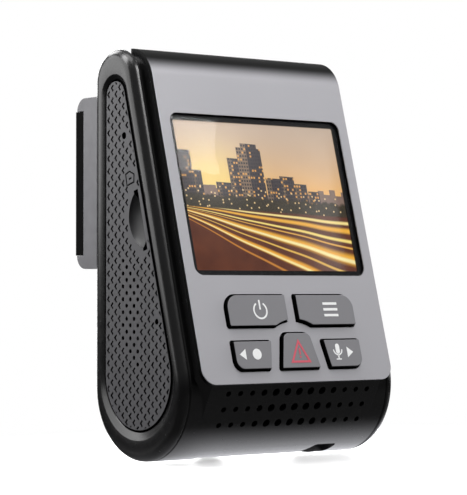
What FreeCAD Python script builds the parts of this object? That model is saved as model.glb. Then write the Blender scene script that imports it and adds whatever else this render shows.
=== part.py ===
import FreeCAD, Part
import math
import os

# Dash camera: a wedge-shaped body with a tilted screen face, a tilting lens drum in its
# round bottom, five keys, and a windscreen bracket that the camera slides off sideways.
#
# Two drawing frames are used. "Upright": X across, Y towards the windscreen, Z up, with
# Y = 0 on the windscreen side of the wedge and Z = 0 under its round bottom. "Face": X
# across, Y up the screen face from its foot, Z out of the face. Every body is then placed
# so that the model's origin is the centre of the adhesive pad's outer face.

doc = FreeCAD.newDocument("dash_camera")
sheet = doc.addObject("Spreadsheet::Sheet", "Sizes")

SIZES = [
    # outer shape
    ("core_half", 24.4, "half width of the centre housing, at the side caps' seams"),
    ("cap_depth", 2.2, "how far each side cap stands out from its seam"),
    ("base_rad", 13.93, "radius of the round bottom"),
    ("crown_rad", 6.24, "radius of the wedge's top"),
    ("wedge_tall", 77.56, "height of the wedge"),
    ("wall", 1.6, "housing wall"),
    ("seam_bevel", 0.25, "bevel on both sides of each side seam"),
    ("split_depth", 5.0, "depth of the seam between front and rear housings"),
    # screen face
    ("face_lift", 2.585, "outer face above the wedge's sloping side"),
    ("foot_rise", 14.92, "height of the face panel's lower edge"),
    ("face_ledge", 1.0, "step from the side seam to the face panel's platform"),
    ("panel_thick", 1.0, "face panel sheet"),
    ("panel_corner", 2.9, "lower corner radius of the face panel"),
    ("face_crown_rad", 7.24, "outer radius of the panel's bend over the top"),
    ("crown_lift", 0.78, "panel's top above the wedge's top"),
    ("corner_cut", 2.5, "bevel on the lower corners of the platform"),
    # screen
    ("window_wide", 42.4, "opening for the screen window"),
    ("window_tall", 31.9, "opening for the screen window"),
    ("window_rise", 20.85, "lower edge of the window opening, up the face"),
    ("window_corner", 1.9, "corner radius of the window opening"),
    ("window_sink", 0.35, "window surface below the face"),
    ("window_gap", 0.15, "clearance around the window"),
    ("display_wide", 43.0, "display module"),
    ("display_tall", 35.0, "display module"),
    ("display_thick", 2.2, "display module"),
    ("display_gap", 0.2, "clearance around the display module"),
    # keys
    ("key_gap", 0.4, "clearance around each key cap"),
    ("key_proud", 0.8, "key cap above the face"),
    ("key_flange", 0.3, "flange beyond the key opening"),
    ("key_travel", 0.4, "press of a key"),
    ("key_outer", 16.0, "outer edge of the key field from the centre line"),
    ("key_inner", 1.0, "inner edge of the upper keys from the centre line"),
    ("upper_low", 10.5, "lower edge of the upper keys"),
    ("upper_high", 17.2, "upper edge of the upper keys"),
    ("lower_low", 2.2, "lower edge of the lower keys"),
    ("lower_high", 8.3, "upper edge of the lower side keys"),
    ("side_key_inner", 6.0, "inner upper corner of the lower side keys"),
    ("key_slant", 1.1, "inward slant of the lower keys' inner edges"),
    ("centre_key_half", 5.2, "half width of the centre key's foot"),
    ("centre_key_high", 9.75, "top of the centre key"),
    ("notch_rad", 8.9, "radius of the notch in the upper keys"),
    ("notch_rise", 2.8, "centre of that notch, up the face"),
    # vents
    ("vent_pitch", 2.87, "spacing of the vent holes"),
    ("vent_row_gap", 3.33, "spacing of the vent rows"),
    ("vent_first", 1.8, "first vent row from the panel's edge"),
    ("vent_shift", 0.8, "vent field to the right of the middle"),
    ("vent_small", 0.56, "radius of the outer vent holes"),
    ("vent_large", 0.80, "radius of the middle vent holes"),
    ("vent_count", 13, "vent holes in a row"),
    # side caps and inserts
    ("cap_round", 1.9, "rounding of the side caps' rims"),
    ("recess_base_rad", 11.6, "lower radius of the teardrop recess"),
    ("recess_base_in", 14.0, "its centre behind the front face"),
    ("recess_base_up", 16.2, "its centre height"),
    ("recess_crown_rad", 4.3, "upper radius of the teardrop recess"),
    ("recess_crown_in", 6.85, "its centre behind the front face"),
    ("recess_crown_down", 8.46, "its centre below the wedge's top"),
    ("recess_sink", 1.4, "depth of the teardrop recess"),
    ("insert_gap", 1.4, "groove around the side insert"),
    ("insert_thick", 1.05, "side insert"),
    ("spigot_deep", 1.2, "side cap's lip inside the housing"),
    ("fit_gap", 0.06, "clearance of pieces that fit together"),
    # holes in the left side
    ("reset_in", 9.6, "reset hole behind the front face"),
    ("reset_up", 61.5, "reset hole height"),
    ("reset_rad", 0.7, "reset hole"),
    ("mic_in", 19.95, "microphone hole behind the front face"),
    ("mic_up", 26.4, "microphone hole height"),
    ("mic_rad", 0.55, "microphone hole"),
    ("card_rise", 33.6, "card slot centre, up the face"),
    ("card_sink", 7.3, "card slot below the face"),
    ("card_wide", 11.4, "card slot"),
    ("card_thick", 1.0, "card slot"),
    ("sound_rad", 0.4, "speaker hole"),
    ("sound_pitch", 2.44, "speaker hole spacing in a column"),
    ("sound_step", 1.176, "speaker column spacing"),
    ("sound_in", 11.68, "speaker grille centre behind the front face"),
    ("sound_up", 28.07, "speaker grille centre height"),
    ("sound_count", 7, "speaker holes in a column"),
    # lens drum and bay
    ("drum_in", 12.0, "drum axis behind the front face"),
    ("drum_up", 12.2, "drum axis height"),
    ("drum_rad", 11.2, "drum radius"),
    ("drum_half", 14.6, "half length of the drum"),
    ("drum_gap", 0.3, "clearance around the drum"),
    ("drum_wall", 1.5, "drum shell"),
    ("drum_split", 3.6, "seam of the drum shells behind the axis"),
    ("drum_rest", 20.0, "downward tilt of the lens at rest"),
    ("bay_wall", 1.1, "bay wall"),
    ("bay_cheek", 1.4, "bay end plate"),
    ("pivot_rad", 3.0, "drum pivot"),
    ("pivot_gap", 0.05, "pivot running clearance"),
    ("bay_rear", 17.5, "rear edge of the bottom opening behind the front face"),
    ("bay_top", 20.5, "top edge of the front opening"),
    ("collar_rad", 8.1, "lens collar"),
    ("collar_proud", 1.2, "lens collar's end out of the drum"),
    ("barrel_rad", 6.5, "lens barrel"),
    ("barrel_gap", 0.05, "clearance of the lens barrel"),
    ("relief_near", 11.0, "finger relief in the bottom, near side"),
    ("relief_far", 17.0, "finger relief in the bottom, far side"),
    ("relief_rear", 21.3, "finger relief behind the front face"),
    # windscreen bracket
    ("bracket_half", 23.0, "half width of the bracket"),
    ("bracket_low", 36.4, "bracket's lower edge"),
    ("bracket_high", 70.0, "bracket's upper edge"),
    ("bracket_depth", 11.0, "adhesive face from the camera's front face"),
    ("bracket_air", 0.35, "air between camera and bracket"),
    ("bracket_base_thick", 3.6, "bracket base plate"),
    ("bracket_round", 2.7, "rounding of the bracket's outer long edges"),
    ("pad_thick", 2.5, "adhesive pad"),
    ("pad_tall", 28.4, "adhesive pad"),
    ("rail_half", 17.0, "half length of the camera's slide rail"),
    ("rail_neck", 8.6, "half height of the rail's neck"),
    ("rail_head", 10.4, "half height of the rail's head"),
    ("rail_neck_reach", 1.5, "rail neck out of the front face"),
    ("rail_head_reach", 2.7, "rail head's outer face from the front face"),
    ("rail_gap", 0.3, "running clearance of the rail"),
    # inside
    ("screw_head_rad", 1.7, "screw head"),
    ("screw_head_tall", 1.1, "screw head"),
    ("screw_shank_rad", 0.95, "screw shank"),
    ("boss_rad", 2.2, "screw boss"),
    ("screw_low_x", 20.5, "lower housing screws from the centre line"),
    ("screw_low_up", 12.0, "lower housing screws' height"),
    ("screw_high_x", 14.0, "upper housing screws from the centre line"),
    ("board_thick", 1.2, "main board"),
    ("board_sink", 8.1, "main board's face side below the screen face"),
    ("board_side", 2.0, "side seam to the main board's edge"),
    ("board_low", 20.4, "main board's lower edge, up the face"),
    ("board_high", 57.0, "main board's upper edge, up the face"),
    ("key_board_sink", 4.4, "key board's face side below the screen face"),
    ("key_board_thick", 1.0, "key board"),
]

for row, (alias, number, note) in enumerate(SIZES, 1):
    sheet.set("A%d" % row, alias)
    sheet.set("B%d" % row, str(number))
    sheet.set("C%d" % row, note)
    sheet.setAlias("B%d" % row, alias)

# Sizes that follow from the ones above.
DERIVED = [
    ("face_tilt", "2 * atan((base_rad - crown_rad) / (wedge_tall - crown_rad - base_rad)) / 1 deg"),
    ("bracket_mid", "(bracket_low + bracket_high) / 2"),
    ("cap_half", "core_half + cap_depth"),
    ("face_half", "core_half - face_ledge"),
    ("face_tall", "wedge_tall + crown_lift"),
    ("recess_crown_up", "wedge_tall - recess_crown_down"),
    ("screw_high_up", "wedge_tall - crown_rad"),
    ("collar_reach", "drum_rad + collar_proud"),
    ("board_half", "core_half - board_side"),
]
for row, (alias, formula) in enumerate(DERIVED, len(SIZES) + 1):
    sheet.set("A%d" % row, alias)
    sheet.set("B%d" % row, "=" + formula)
    sheet.setAlias("B%d" % row, alias)
doc.recompute()


def size(alias):
    """The plain number that a cell of the sheet holds."""
    number = sheet.get(alias)
    return float(getattr(number, "Value", number))


TILT = math.radians(size("face_tilt"))
SIN = math.sin(TILT)
COS = math.cos(TILT)
BASE_RAD = size("base_rad")
FOOT_RISE = size("foot_rise")
# The foot of the screen face in the upright frame, on the panel's outer surface.
FOOT_IN = (BASE_RAD * (COS + SIN) + BASE_RAD + size("face_lift") - SIN * FOOT_RISE) / COS


def face_to_upright(up, out):
    """A point of the face frame's YZ plane, in the upright frame's YZ plane."""
    return (-FOOT_IN + up * SIN - out * COS, FOOT_RISE + up * COS + out * SIN)


def upright_to_face(depth, rise):
    """The reverse of face_to_upright."""
    shift_y = depth + FOOT_IN
    shift_z = rise - FOOT_RISE
    return (shift_y * SIN + shift_z * COS, -shift_y * COS + shift_z * SIN)


# ---------------------------------------------------------------- helpers

NODES = []


def new_body(label, frame="upright"):
    """A body of one of the drawing frames, placed in the model's frame."""
    body = doc.addObject("PartDesign::Body", label)
    body.Label = label
    body.AllowCompound = True
    if frame == "face":
        turn = FreeCAD.Rotation(FreeCAD.Vector(1, 0, 0), 90 - size("face_tilt"))
        start = FreeCAD.Vector(0, -FOOT_IN - size("bracket_depth"), FOOT_RISE - size("bracket_mid"))
        body.Placement = FreeCAD.Placement(start, turn)
    elif frame == "drum":
        body.Placement = FreeCAD.Placement(
            FreeCAD.Vector(0, 0, 0), FreeCAD.Rotation(FreeCAD.Vector(1, 0, 0), -size("drum_rest")))
        body.setExpression("Placement.Base.y", "-Sizes.drum_in - Sizes.bracket_depth")
        body.setExpression("Placement.Base.z", "Sizes.drum_up - Sizes.bracket_mid")
    else:
        body.setExpression("Placement.Base.y", "-Sizes.bracket_depth")
        body.setExpression("Placement.Base.z", "-Sizes.bracket_mid")
    NODES.append(body)
    return body


def bind(feature, prop, formula):
    """Tie one property of a feature to the sheet."""
    feature.setExpression(prop, str(formula))


def block(body, x, y, z, cut=False):
    """A box between two bounds on each axis, added to the body or cut from it."""
    kind = "PartDesign::SubtractiveBox" if cut else "PartDesign::AdditiveBox"
    feature = body.newObject(kind, body.Name + "_block")
    for prop, axis, (low, high) in (("Length", "x", x), ("Width", "y", y), ("Height", "z", z)):
        bind(feature, prop, "(%s) - (%s)" % (high, low))
        bind(feature, "Placement.Base." + axis, low)
    return feature


AXIS_TURN = {
    "x": FreeCAD.Rotation(FreeCAD.Vector(0, 1, 0), 90),
    "y": FreeCAD.Rotation(FreeCAD.Vector(1, 0, 0), -90),
    "z": FreeCAD.Rotation(),
}


def rod(body, axis, radius, start, length, cut=False):
    """A round bar from a start point along +X, +Y or +Z, added or cut."""
    kind = "PartDesign::SubtractiveCylinder" if cut else "PartDesign::AdditiveCylinder"
    feature = body.newObject(kind, body.Name + "_rod")
    feature.Placement = FreeCAD.Placement(FreeCAD.Vector(0, 0, 0), AXIS_TURN[axis])
    bind(feature, "Radius", radius)
    bind(feature, "Height", length)
    for name, formula in zip("xyz", start):
        bind(feature, "Placement.Base." + name, formula)
    return feature


def sketch(body, role, loops, offset=None):
    """A sketch of closed loops on one of the body's own origin planes."""
    drawing = body.newObject("Sketcher::SketchObject", body.Name + "_sketch")
    plane = [p for p in body.Origin.OriginFeatures if p.Role == role][0]
    drawing.AttachmentSupport = [(plane, "")]
    drawing.MapMode = "FlatFace"
    if offset is not None:
        bind(drawing, "AttachmentOffset.Base.z", offset)
    for loop in loops:
        for piece in loop:
            drawing.addGeometry(piece, False)
    return drawing


def pad(body, drawing, length, middle=True, reverse=False):
    """The sketch drawn out to a solid."""
    feature = body.newObject("PartDesign::Pad", body.Name + "_pad")
    feature.Profile = drawing
    feature.Midplane = middle
    feature.Reversed = reverse
    bind(feature, "Length", length)
    return feature


def pocket(body, drawing, length, middle=True, reverse=False):
    """The sketch cut out of the solid, which has to lose volume by it."""
    doc.recompute()
    before = body.Shape.Volume
    feature = body.newObject("PartDesign::Pocket", body.Name + "_pocket")
    feature.Profile = drawing
    feature.Midplane = middle
    feature.Reversed = reverse
    bind(feature, "Length", length)
    doc.recompute()
    if not body.Shape.Volume < before - 1e-6:
        raise RuntimeError(body.Label + ": a pocket cut nothing")
    return feature


def line(start, end):
    return Part.LineSegment(FreeCAD.Vector(start[0], start[1], 0), FreeCAD.Vector(end[0], end[1], 0))


def arc(centre, radius, first, last):
    """An arc, counter-clockwise between two angles in radians."""
    circle = Part.Circle(FreeCAD.Vector(centre[0], centre[1], 0), FreeCAD.Vector(0, 0, 1), radius)
    return Part.ArcOfCircle(circle, first, last)


def ring(centre, radius):
    return [Part.Circle(FreeCAD.Vector(centre[0], centre[1], 0), FreeCAD.Vector(0, 0, 1), radius)]


def teardrop(low_centre, low_rad, high_centre, high_rad):
    """Two circles joined by their outer tangents; drawn in a YZ plane."""
    span_y = high_centre[0] - low_centre[0]
    span_z = high_centre[1] - low_centre[1]
    heading = math.atan2(span_z, span_y)
    lean = math.acos((low_rad - high_rad) / math.hypot(span_y, span_z))
    right = heading - lean
    left = heading + lean

    def at(centre, radius, angle):
        return (centre[0] + radius * math.cos(angle), centre[1] + radius * math.sin(angle))

    return [
        line(at(low_centre, low_rad, right), at(high_centre, high_rad, right)),
        arc(high_centre, high_rad, right, left),
        line(at(high_centre, high_rad, left), at(low_centre, low_rad, left)),
        arc(low_centre, low_rad, left, right + 2 * math.pi),
    ]


def wedge_loop(inset):
    """The body's side profile, drawn in by a distance."""
    base = size("base_rad")
    crown = size("crown_rad")
    return teardrop((-base, base), base - inset, (-crown, size("wedge_tall") - crown), crown - inset)


def recess_loop(inset):
    """The teardrop recess of a side cap, drawn in by a distance."""
    low = (-size("recess_base_in"), size("recess_base_up"))
    high = (-size("recess_crown_in"), size("recess_crown_up"))
    return teardrop(low, size("recess_base_rad") - inset, high, size("recess_crown_rad") - inset)


def polygon(corners):
    """A closed loop through (x, y, corner radius) points, counter-clockwise."""
    starts = []
    ends = []
    arcs = []
    count = len(corners)
    for i in range(count):
        px, py, _ = corners[i - 1]
        cx, cy, rad = corners[i]
        nx, ny, _ = corners[(i + 1) % count]
        in_len = math.hypot(cx - px, cy - py)
        out_len = math.hypot(nx - cx, ny - cy)
        in_dir = ((cx - px) / in_len, (cy - py) / in_len)
        out_dir = ((nx - cx) / out_len, (ny - cy) / out_len)
        turn = math.atan2(in_dir[0] * out_dir[1] - in_dir[1] * out_dir[0],
                          in_dir[0] * out_dir[0] + in_dir[1] * out_dir[1])
        back = rad * math.tan(abs(turn) / 2)
        begin = (cx - in_dir[0] * back, cy - in_dir[1] * back)
        finish = (cx + out_dir[0] * back, cy + out_dir[1] * back)
        starts.append(begin)
        ends.append(finish)
        if rad > 0:
            side = 1 if turn > 0 else -1
            mid = (begin[0] - in_dir[1] * rad * side, begin[1] + in_dir[0] * rad * side)
            first = math.atan2(begin[1] - mid[1], begin[0] - mid[0])
            if side > 0:
                arcs.append(arc(mid, rad, first, first + turn))
            else:
                arcs.append(arc(mid, rad, first + turn, first))
        else:
            arcs.append(None)
    loop = []
    for i in range(count):
        if arcs[i] is not None:
            loop.append(arcs[i])
        loop.append(line(ends[i], starts[(i + 1) % count]))
    return loop


def grow(corners, outset):
    """The same convex polygon with every side moved out by a distance."""
    count = len(corners)
    sides = []
    for i in range(count):
        ax, ay, _ = corners[i]
        bx, by, _ = corners[(i + 1) % count]
        run = math.hypot(bx - ax, by - ay)
        nx, ny = (by - ay) / run, -(bx - ax) / run
        sides.append((nx, ny, nx * ax + ny * ay + outset))
    moved = []
    for i in range(count):
        n1x, n1y, d1 = sides[i - 1]
        n2x, n2y, d2 = sides[i]
        det = n1x * n2y - n1y * n2x
        x = (d1 * n2y - d2 * n1y) / det
        y = (n1x * d2 - n2x * d1) / det
        moved.append((x, y, max(corners[i][2] + outset, 0.15)))
    return moved


def rectangle(x_low, x_high, y_low, y_high, rad=0.0):
    return [(x_low, y_low, rad), (x_high, y_low, rad), (x_high, y_high, rad), (x_low, y_high, rad)]


def mirrored(corners):
    """A polygon reflected in the centre line, still counter-clockwise."""
    return [(-x, y, rad) for x, y, rad in reversed(corners)]


def edges_where(feature, test):
    """Names of the feature's edges whose shape passes a test."""
    return ["Edge%d" % i for i, edge in enumerate(feature.Shape.Edges, 1) if test(edge)]


def dress(body, kind, names, prop, formula):
    """A fillet or chamfer on named edges of the body's last feature."""
    base = body.Tip
    feature = body.newObject("PartDesign::" + kind, body.Name + "_" + kind.lower())
    feature.Base = (base, names)
    bind(feature, prop, formula)
    doc.recompute()
    return feature


# ---------------------------------------------------------------- centre housing

PANEL = size("panel_thick")
FACE_CROWN = size("face_crown_rad")
# The bend of the panel over the top, in the face frame: centre of the bend.
BEND_UP = (size("face_tall") - FACE_CROWN - FOOT_RISE + FACE_CROWN * SIN) / COS


def platform_loop():
    """Side profile of the raised platform under the face panel, upright frame."""
    foot = face_to_upright(0, -PANEL)
    bend = face_to_upright(BEND_UP, -FACE_CROWN)
    inner = FACE_CROWN - PANEL
    toe_angle = math.pi - TILT
    flat_end = face_to_upright(BEND_UP, -PANEL)
    apex = (bend[0], bend[1] + inner)
    centre = (-BASE_RAD, BASE_RAD)
    reach = math.hypot(foot[0] - centre[0], foot[1] - centre[1])
    bearing = math.atan2(foot[1] - centre[1], foot[0] - centre[0])
    touch = bearing + math.acos(BASE_RAD / reach)
    toe = (centre[0] + BASE_RAD * math.cos(touch), centre[1] + BASE_RAD * math.sin(touch))
    keep = -size("face_lift") - 3.0
    deep_low = face_to_upright(4.0, keep)
    deep_high = face_to_upright(BEND_UP - 2.0, keep)
    loop = [
        line(toe, deep_low),
        line(deep_low, deep_high),
        line(deep_high, apex),
        arc(bend, inner, math.pi / 2, toe_angle),
        line(flat_end, foot),
        line(foot, toe),
    ]
    return loop, foot, toe


PLATFORM, PLATFORM_FOOT, PLATFORM_TOE = platform_loop()


def is_corner_edge(edge):
    """The two long edges between the vent facet and the platform's sides."""
    ends = [vertex.Point for vertex in edge.Vertexes]
    if len(ends) != 2 or abs(ends[0].x - ends[1].x) > 1e-6:
        return False
    wanted = sorted([PLATFORM_FOOT, PLATFORM_TOE])
    found = sorted([(point.y, point.z) for point in ends])
    return all(math.hypot(a[0] - b[0], a[1] - b[1]) < 1e-4 for a, b in zip(wanted, found))


def is_side_seam(edge):
    """Edges of the wedge profile in the two seam planes."""
    return all(abs(abs(v.Point.x) - size("core_half")) < 1e-6 for v in edge.Vertexes) and \
        abs(abs(edge.CenterOfMass.x) - size("core_half")) < 1e-6


def bay_openings(body):
    """The opening for the lens drum, through the front face and the round bottom."""
    half = "(Sizes.drum_half + Sizes.drum_gap)"
    block(body, ("-" + half, half), ("-Sizes.bay_rear", 1), (-1, "Sizes.drum_up"), cut=True)
    block(body, ("-" + half, half), ("-Sizes.wall - 2", 1), (2, "Sizes.bay_top"), cut=True)


# Rear housing: the screen side of the wedge with the raised platform.
rear = new_body("rear_housing")
raised = pad(rear, sketch(rear, "YZ_Plane", [PLATFORM]), "2 * Sizes.face_half")
doc.recompute()
dress(rear, "Chamfer", edges_where(raised, is_corner_edge), "Size", "Sizes.corner_cut")
pad(rear, sketch(rear, "YZ_Plane", [wedge_loop(0)]), "2 * Sizes.core_half")
doc.recompute()
dress(rear, "Chamfer", edges_where(rear.Tip, is_side_seam), "Size", "Sizes.seam_bevel")
pocket(rear, sketch(rear, "YZ_Plane", [wedge_loop(size("wall"))]), "4 * Sizes.core_half")

# Everything on the windscreen side of the seam belongs to the front housing.
block(rear, ("-2 * Sizes.core_half", "2 * Sizes.core_half"), ("-Sizes.split_depth", 5), (-5, "Sizes.wedge_tall + 10"), cut=True)

# Openings in the sloping wall: display module, key field and vent holes.
display_mid = "(Sizes.window_rise + Sizes.window_tall / 2)"


def face_cut(body, corners, out_high, out_low):
    """A prismatic cut square to the face, drawn in the face frame, on an upright body."""
    drawing = body.newObject("Sketcher::SketchObject", body.Name + "_face_sketch")
    plane = [p for p in body.Origin.OriginFeatures if p.Role == "XY_Plane"][0]
    drawing.AttachmentSupport = [(plane, "")]
    drawing.MapMode = "FlatFace"
    turn = FreeCAD.Rotation(FreeCAD.Vector(1, 0, 0), 90 - size("face_tilt"))
    depth, rise = face_to_upright(0, out_high)
    drawing.AttachmentOffset = FreeCAD.Placement(FreeCAD.Vector(0, depth, rise), turn)
    for loop in corners:
        for piece in loop:
            drawing.addGeometry(piece, False)
    return pocket(body, drawing, out_high - out_low, middle=False)


half_w = size("display_wide") / 2 + size("display_gap")
half_t = size("display_tall") / 2 + size("display_gap")
display_up = size("window_rise") + size("window_tall") / 2
key_half = size("key_outer") + size("key_flange") + 0.6
key_low = size("lower_low") - size("key_flange") - 0.6
key_high = size("upper_high") + size("key_flange") + 0.5
face_cut(rear, [
    polygon(rectangle(-half_w, half_w, display_up - half_t, display_up + half_t)),
    polygon(rectangle(-key_half, key_half, key_low, key_high)),
], 0.5, -(size("face_lift") + size("wall") + 0.8))

# Threads of the key board's two screws, in the wall beside the key field.
face_cut(rear, [ring((-18.0, 10.2), 0.72), ring((18.0, 10.2), 0.72)],
         2.05 - size("key_board_sink"), -size("key_board_sink") - 0.4)

facet_run = (PLATFORM_TOE[0] - PLATFORM_FOOT[0], PLATFORM_TOE[1] - PLATFORM_FOOT[1])
facet_len = math.hypot(*facet_run)
facet_dir = (facet_run[0] / facet_len, facet_run[1] / facet_len)
facet_turn = math.degrees(math.atan2(-facet_dir[1], -facet_dir[0]))

vents = rear.newObject("Sketcher::SketchObject", "rear_housing_vents")
vents.AttachmentSupport = [([p for p in rear.Origin.OriginFeatures if p.Role == "XY_Plane"][0], "")]
vents.MapMode = "FlatFace"
vents.AttachmentOffset = FreeCAD.Placement(
    FreeCAD.Vector(0, PLATFORM_FOOT[0], PLATFORM_FOOT[1]),
    FreeCAD.Rotation(FreeCAD.Vector(1, 0, 0), facet_turn))
VENTS = int(size("vent_count"))
for vent_row in range(3):
    for number in range(VENTS):
        away = abs(number - (VENTS - 1) / 2)
        share = min(max((away - 2) / 2, 0), 1)
        rad = size("vent_large") + (size("vent_small") - size("vent_large")) * share
        x = (number - (VENTS - 1) / 2) * size("vent_pitch") + size("vent_shift")
        down = size("vent_first") + vent_row * size("vent_row_gap")
        vents.addGeometry(ring((x, -down), rad)[0], False)
pocket(rear, vents, "Sizes.wall + 4", middle=True)

bay_openings(rear)
# Finger relief at one end of the bottom opening.
relief = sketch(rear, "XY_Plane", [polygon([
    (size("relief_near") - 1.2, -size("bay_rear") + 0.5, 0),
    (size("relief_near") + 0.6, -size("relief_rear"), 0.8),
    (size("relief_far"), -size("relief_rear"), 0.8),
    (size("relief_far"), -size("bay_rear") + 0.5, 0),
][::-1])], offset=-1)
pocket(rear, relief, "1 + 2.6 + 1.2", middle=False, reverse=True)

# Bosses for the housing screws run from the sloping wall to the seam.
for sign in ("-", ""):
    low_x = sign + "Sizes.screw_low_x"
    high_x = sign + "Sizes.screw_high_x"
    rod(rear, "y", "Sizes.boss_rad", (low_x, "-2 * Sizes.base_rad + Sizes.wall * 0.7", "Sizes.screw_low_up"),
        "2 * Sizes.base_rad - Sizes.wall * 0.7 - Sizes.split_depth - 1.2")
    rod(rear, "y", "Sizes.boss_rad - 0.2", (high_x, "-13.4", "Sizes.screw_high_up"),
        "13.4 - Sizes.split_depth - 1.2")
    rod(rear, "y", "Sizes.screw_shank_rad", (low_x, "-13", "Sizes.screw_low_up"), "12", cut=True)
    rod(rear, "y", "Sizes.screw_shank_rad", (high_x, "-12", "Sizes.screw_high_up"), "11", cut=True)

# Front housing: the windscreen side, with the slide rail.
front = new_body("front_housing")
pad(front, sketch(front, "YZ_Plane", [wedge_loop(0)]), "2 * Sizes.core_half")
doc.recompute()
dress(front, "Chamfer", edges_where(front.Tip, is_side_seam), "Size", "Sizes.seam_bevel")
pocket(front, sketch(front, "YZ_Plane", [wedge_loop(size("wall"))]), "4 * Sizes.core_half")
block(front, ("-2 * Sizes.core_half", "2 * Sizes.core_half"), (-50, "-Sizes.split_depth"), (-5, "Sizes.wedge_tall + 10"), cut=True)
block(front, ("-Sizes.rail_half", "Sizes.rail_half"), (-0.4, "Sizes.rail_neck_reach"),
      ("Sizes.bracket_mid - Sizes.rail_neck", "Sizes.bracket_mid + Sizes.rail_neck"))
block(front, ("-Sizes.rail_half", "Sizes.rail_half"), ("Sizes.rail_neck_reach", "Sizes.rail_head_reach"),
      ("Sizes.bracket_mid - Sizes.rail_head", "Sizes.bracket_mid + Sizes.rail_head"))
bay_openings(front)
for sign in ("-", ""):
    low_x = sign + "Sizes.screw_low_x"
    high_x = sign + "Sizes.screw_high_x"
    for x, up in ((low_x, "Sizes.screw_low_up"), (high_x, "Sizes.screw_high_up")):
        rod(front, "y", "Sizes.boss_rad + 0.3", (x, "-Sizes.split_depth - 1", up), "Sizes.split_depth + 0.4")
        rod(front, "y", "Sizes.screw_head_rad + 0.2", (x, "-Sizes.screw_head_tall - 0.2", up), 3, cut=True)
        rod(front, "y", "Sizes.screw_shank_rad + 0.1", (x, -10, up), 10, cut=True)
# Seat for the contact strip in the rail's head.
block(front, (-6.2, 6.2), ("Sizes.rail_head_reach - 0.4", "Sizes.rail_head_reach + 1"),
      ("Sizes.bracket_mid - 1.7", "Sizes.bracket_mid + 1.7"), cut=True)

contacts = new_body("contact_strip")
for number in range(4):
    mid = -4.5 + 3.0 * number
    block(contacts, (mid - 1.0, mid + 1.0), ("Sizes.rail_head_reach - 0.4", "Sizes.rail_head_reach"),
          ("Sizes.bracket_mid - 1.6", "Sizes.bracket_mid + 1.6"))

# ---------------------------------------------------------------- face panel and screen

panel = new_body("face_panel", "face")
bend_rest = math.pi / 2 - TILT
outer_tip = (BEND_UP + FACE_CROWN * math.sin(bend_rest), -FACE_CROWN + FACE_CROWN * math.cos(bend_rest))
inner_rad = FACE_CROWN - PANEL
inner_tip = (BEND_UP + inner_rad * math.sin(bend_rest), -FACE_CROWN + inner_rad * math.cos(bend_rest))
panel_profile = [
    line((0, 0), (0, -PANEL)),
    line((0, -PANEL), (BEND_UP, -PANEL)),
    arc((BEND_UP, -FACE_CROWN), inner_rad, math.pi / 2 - bend_rest, math.pi / 2),
    line(inner_tip, outer_tip),
    arc((BEND_UP, -FACE_CROWN), FACE_CROWN, math.pi / 2 - bend_rest, math.pi / 2),
    line((BEND_UP, 0), (0, 0)),
]
sheet_pad = pad(panel, sketch(panel, "YZ_Plane", [panel_profile]), "2 * Sizes.face_half")
doc.recompute()
dress(panel, "Fillet", edges_where(sheet_pad, lambda edge: edge.Length < PANEL * 1.01 and all(
    abs(v.Point.y) < 1e-6 for v in edge.Vertexes)), "Radius", "Sizes.panel_corner")

window_low = size("window_rise")
window_half = size("window_wide") / 2
window_high = window_low + size("window_tall")

UPPER_KEY = [
    (size("key_inner"), size("upper_low"), 0.4),
    (size("key_outer"), size("upper_low"), 0.7),
    (size("key_outer"), size("upper_high"), 3.0),
    (size("key_inner"), size("upper_high"), 0.5),
]
SIDE_KEY = [
    (size("side_key_inner") + size("key_slant"), size("lower_low"), 0.6),
    (size("key_outer"), size("lower_low"), 2.2),
    (size("key_outer"), size("lower_high"), 0.6),
    (size("side_key_inner"), size("lower_high"), 0.6),
]
CENTRE_KEY = [
    (-size("centre_key_half"), size("lower_low"), 0.5),
    (size("centre_key_half"), size("lower_low"), 0.5),
    (size("centre_key_half") - 1.75, size("centre_key_high"), 1.8),
    (-size("centre_key_half") + 1.75, size("centre_key_high"), 1.8),
]
KEYS = [
    ("power_key", mirrored(UPPER_KEY), True),
    ("menu_key", UPPER_KEY, True),
    ("record_key", mirrored(SIDE_KEY), False),
    ("event_key", CENTRE_KEY, False),
    ("voice_key", SIDE_KEY, False),
]


def key_loop(corners, notched, outset):
    """Outline of a key or its opening; the upper keys give way to the centre key."""
    grown = grow(corners, outset)
    if not notched:
        return polygon(grown)
    right = grown[1][0] > 0
    if not right:
        grown = mirrored(grown)
    rad = size("notch_rad") - outset
    rise = size("notch_rise")
    x_in = grown[0][0]
    y_low = grown[0][1]
    x_cut = math.sqrt(rad ** 2 - (y_low - rise) ** 2)
    y_cut = rise + math.sqrt(rad ** 2 - x_in ** 2)
    first = math.atan2(y_low - rise, x_cut)
    last = math.atan2(y_cut - rise, x_in)
    side = 1 if right else -1
    body_loop = polygon([(x_cut, y_low, 0)] + grown[1:] + [(x_in, y_cut, 0)])[:-1]
    if side > 0:
        return body_loop + [arc((0, rise), rad, first, last)]
    flipped = polygon(mirrored([(x_cut, y_low, 0)] + grown[1:] + [(x_in, y_cut, 0)]))
    closing = [g for g in flipped if not (isinstance(g, Part.LineSegment)
               and math.hypot(g.StartPoint.x + x_in, g.StartPoint.y - y_cut) < 1e-6
               and math.hypot(g.EndPoint.x + x_cut, g.EndPoint.y - y_low) < 1e-6
               or isinstance(g, Part.LineSegment)
               and math.hypot(g.EndPoint.x + x_in, g.EndPoint.y - y_cut) < 1e-6
               and math.hypot(g.StartPoint.x + x_cut, g.StartPoint.y - y_low) < 1e-6)]
    return closing + [arc((0, rise), rad, math.pi - last, math.pi - first)]


openings = [polygon(rectangle(-window_half, window_half, window_low, window_high, size("window_corner")))]
for label, corners, notched in KEYS:
    openings.append(key_loop(corners, notched, 0))
pocket(panel, sketch(panel, "XY_Plane", openings, offset=0.5), "Sizes.panel_thick + 1", middle=False)

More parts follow.
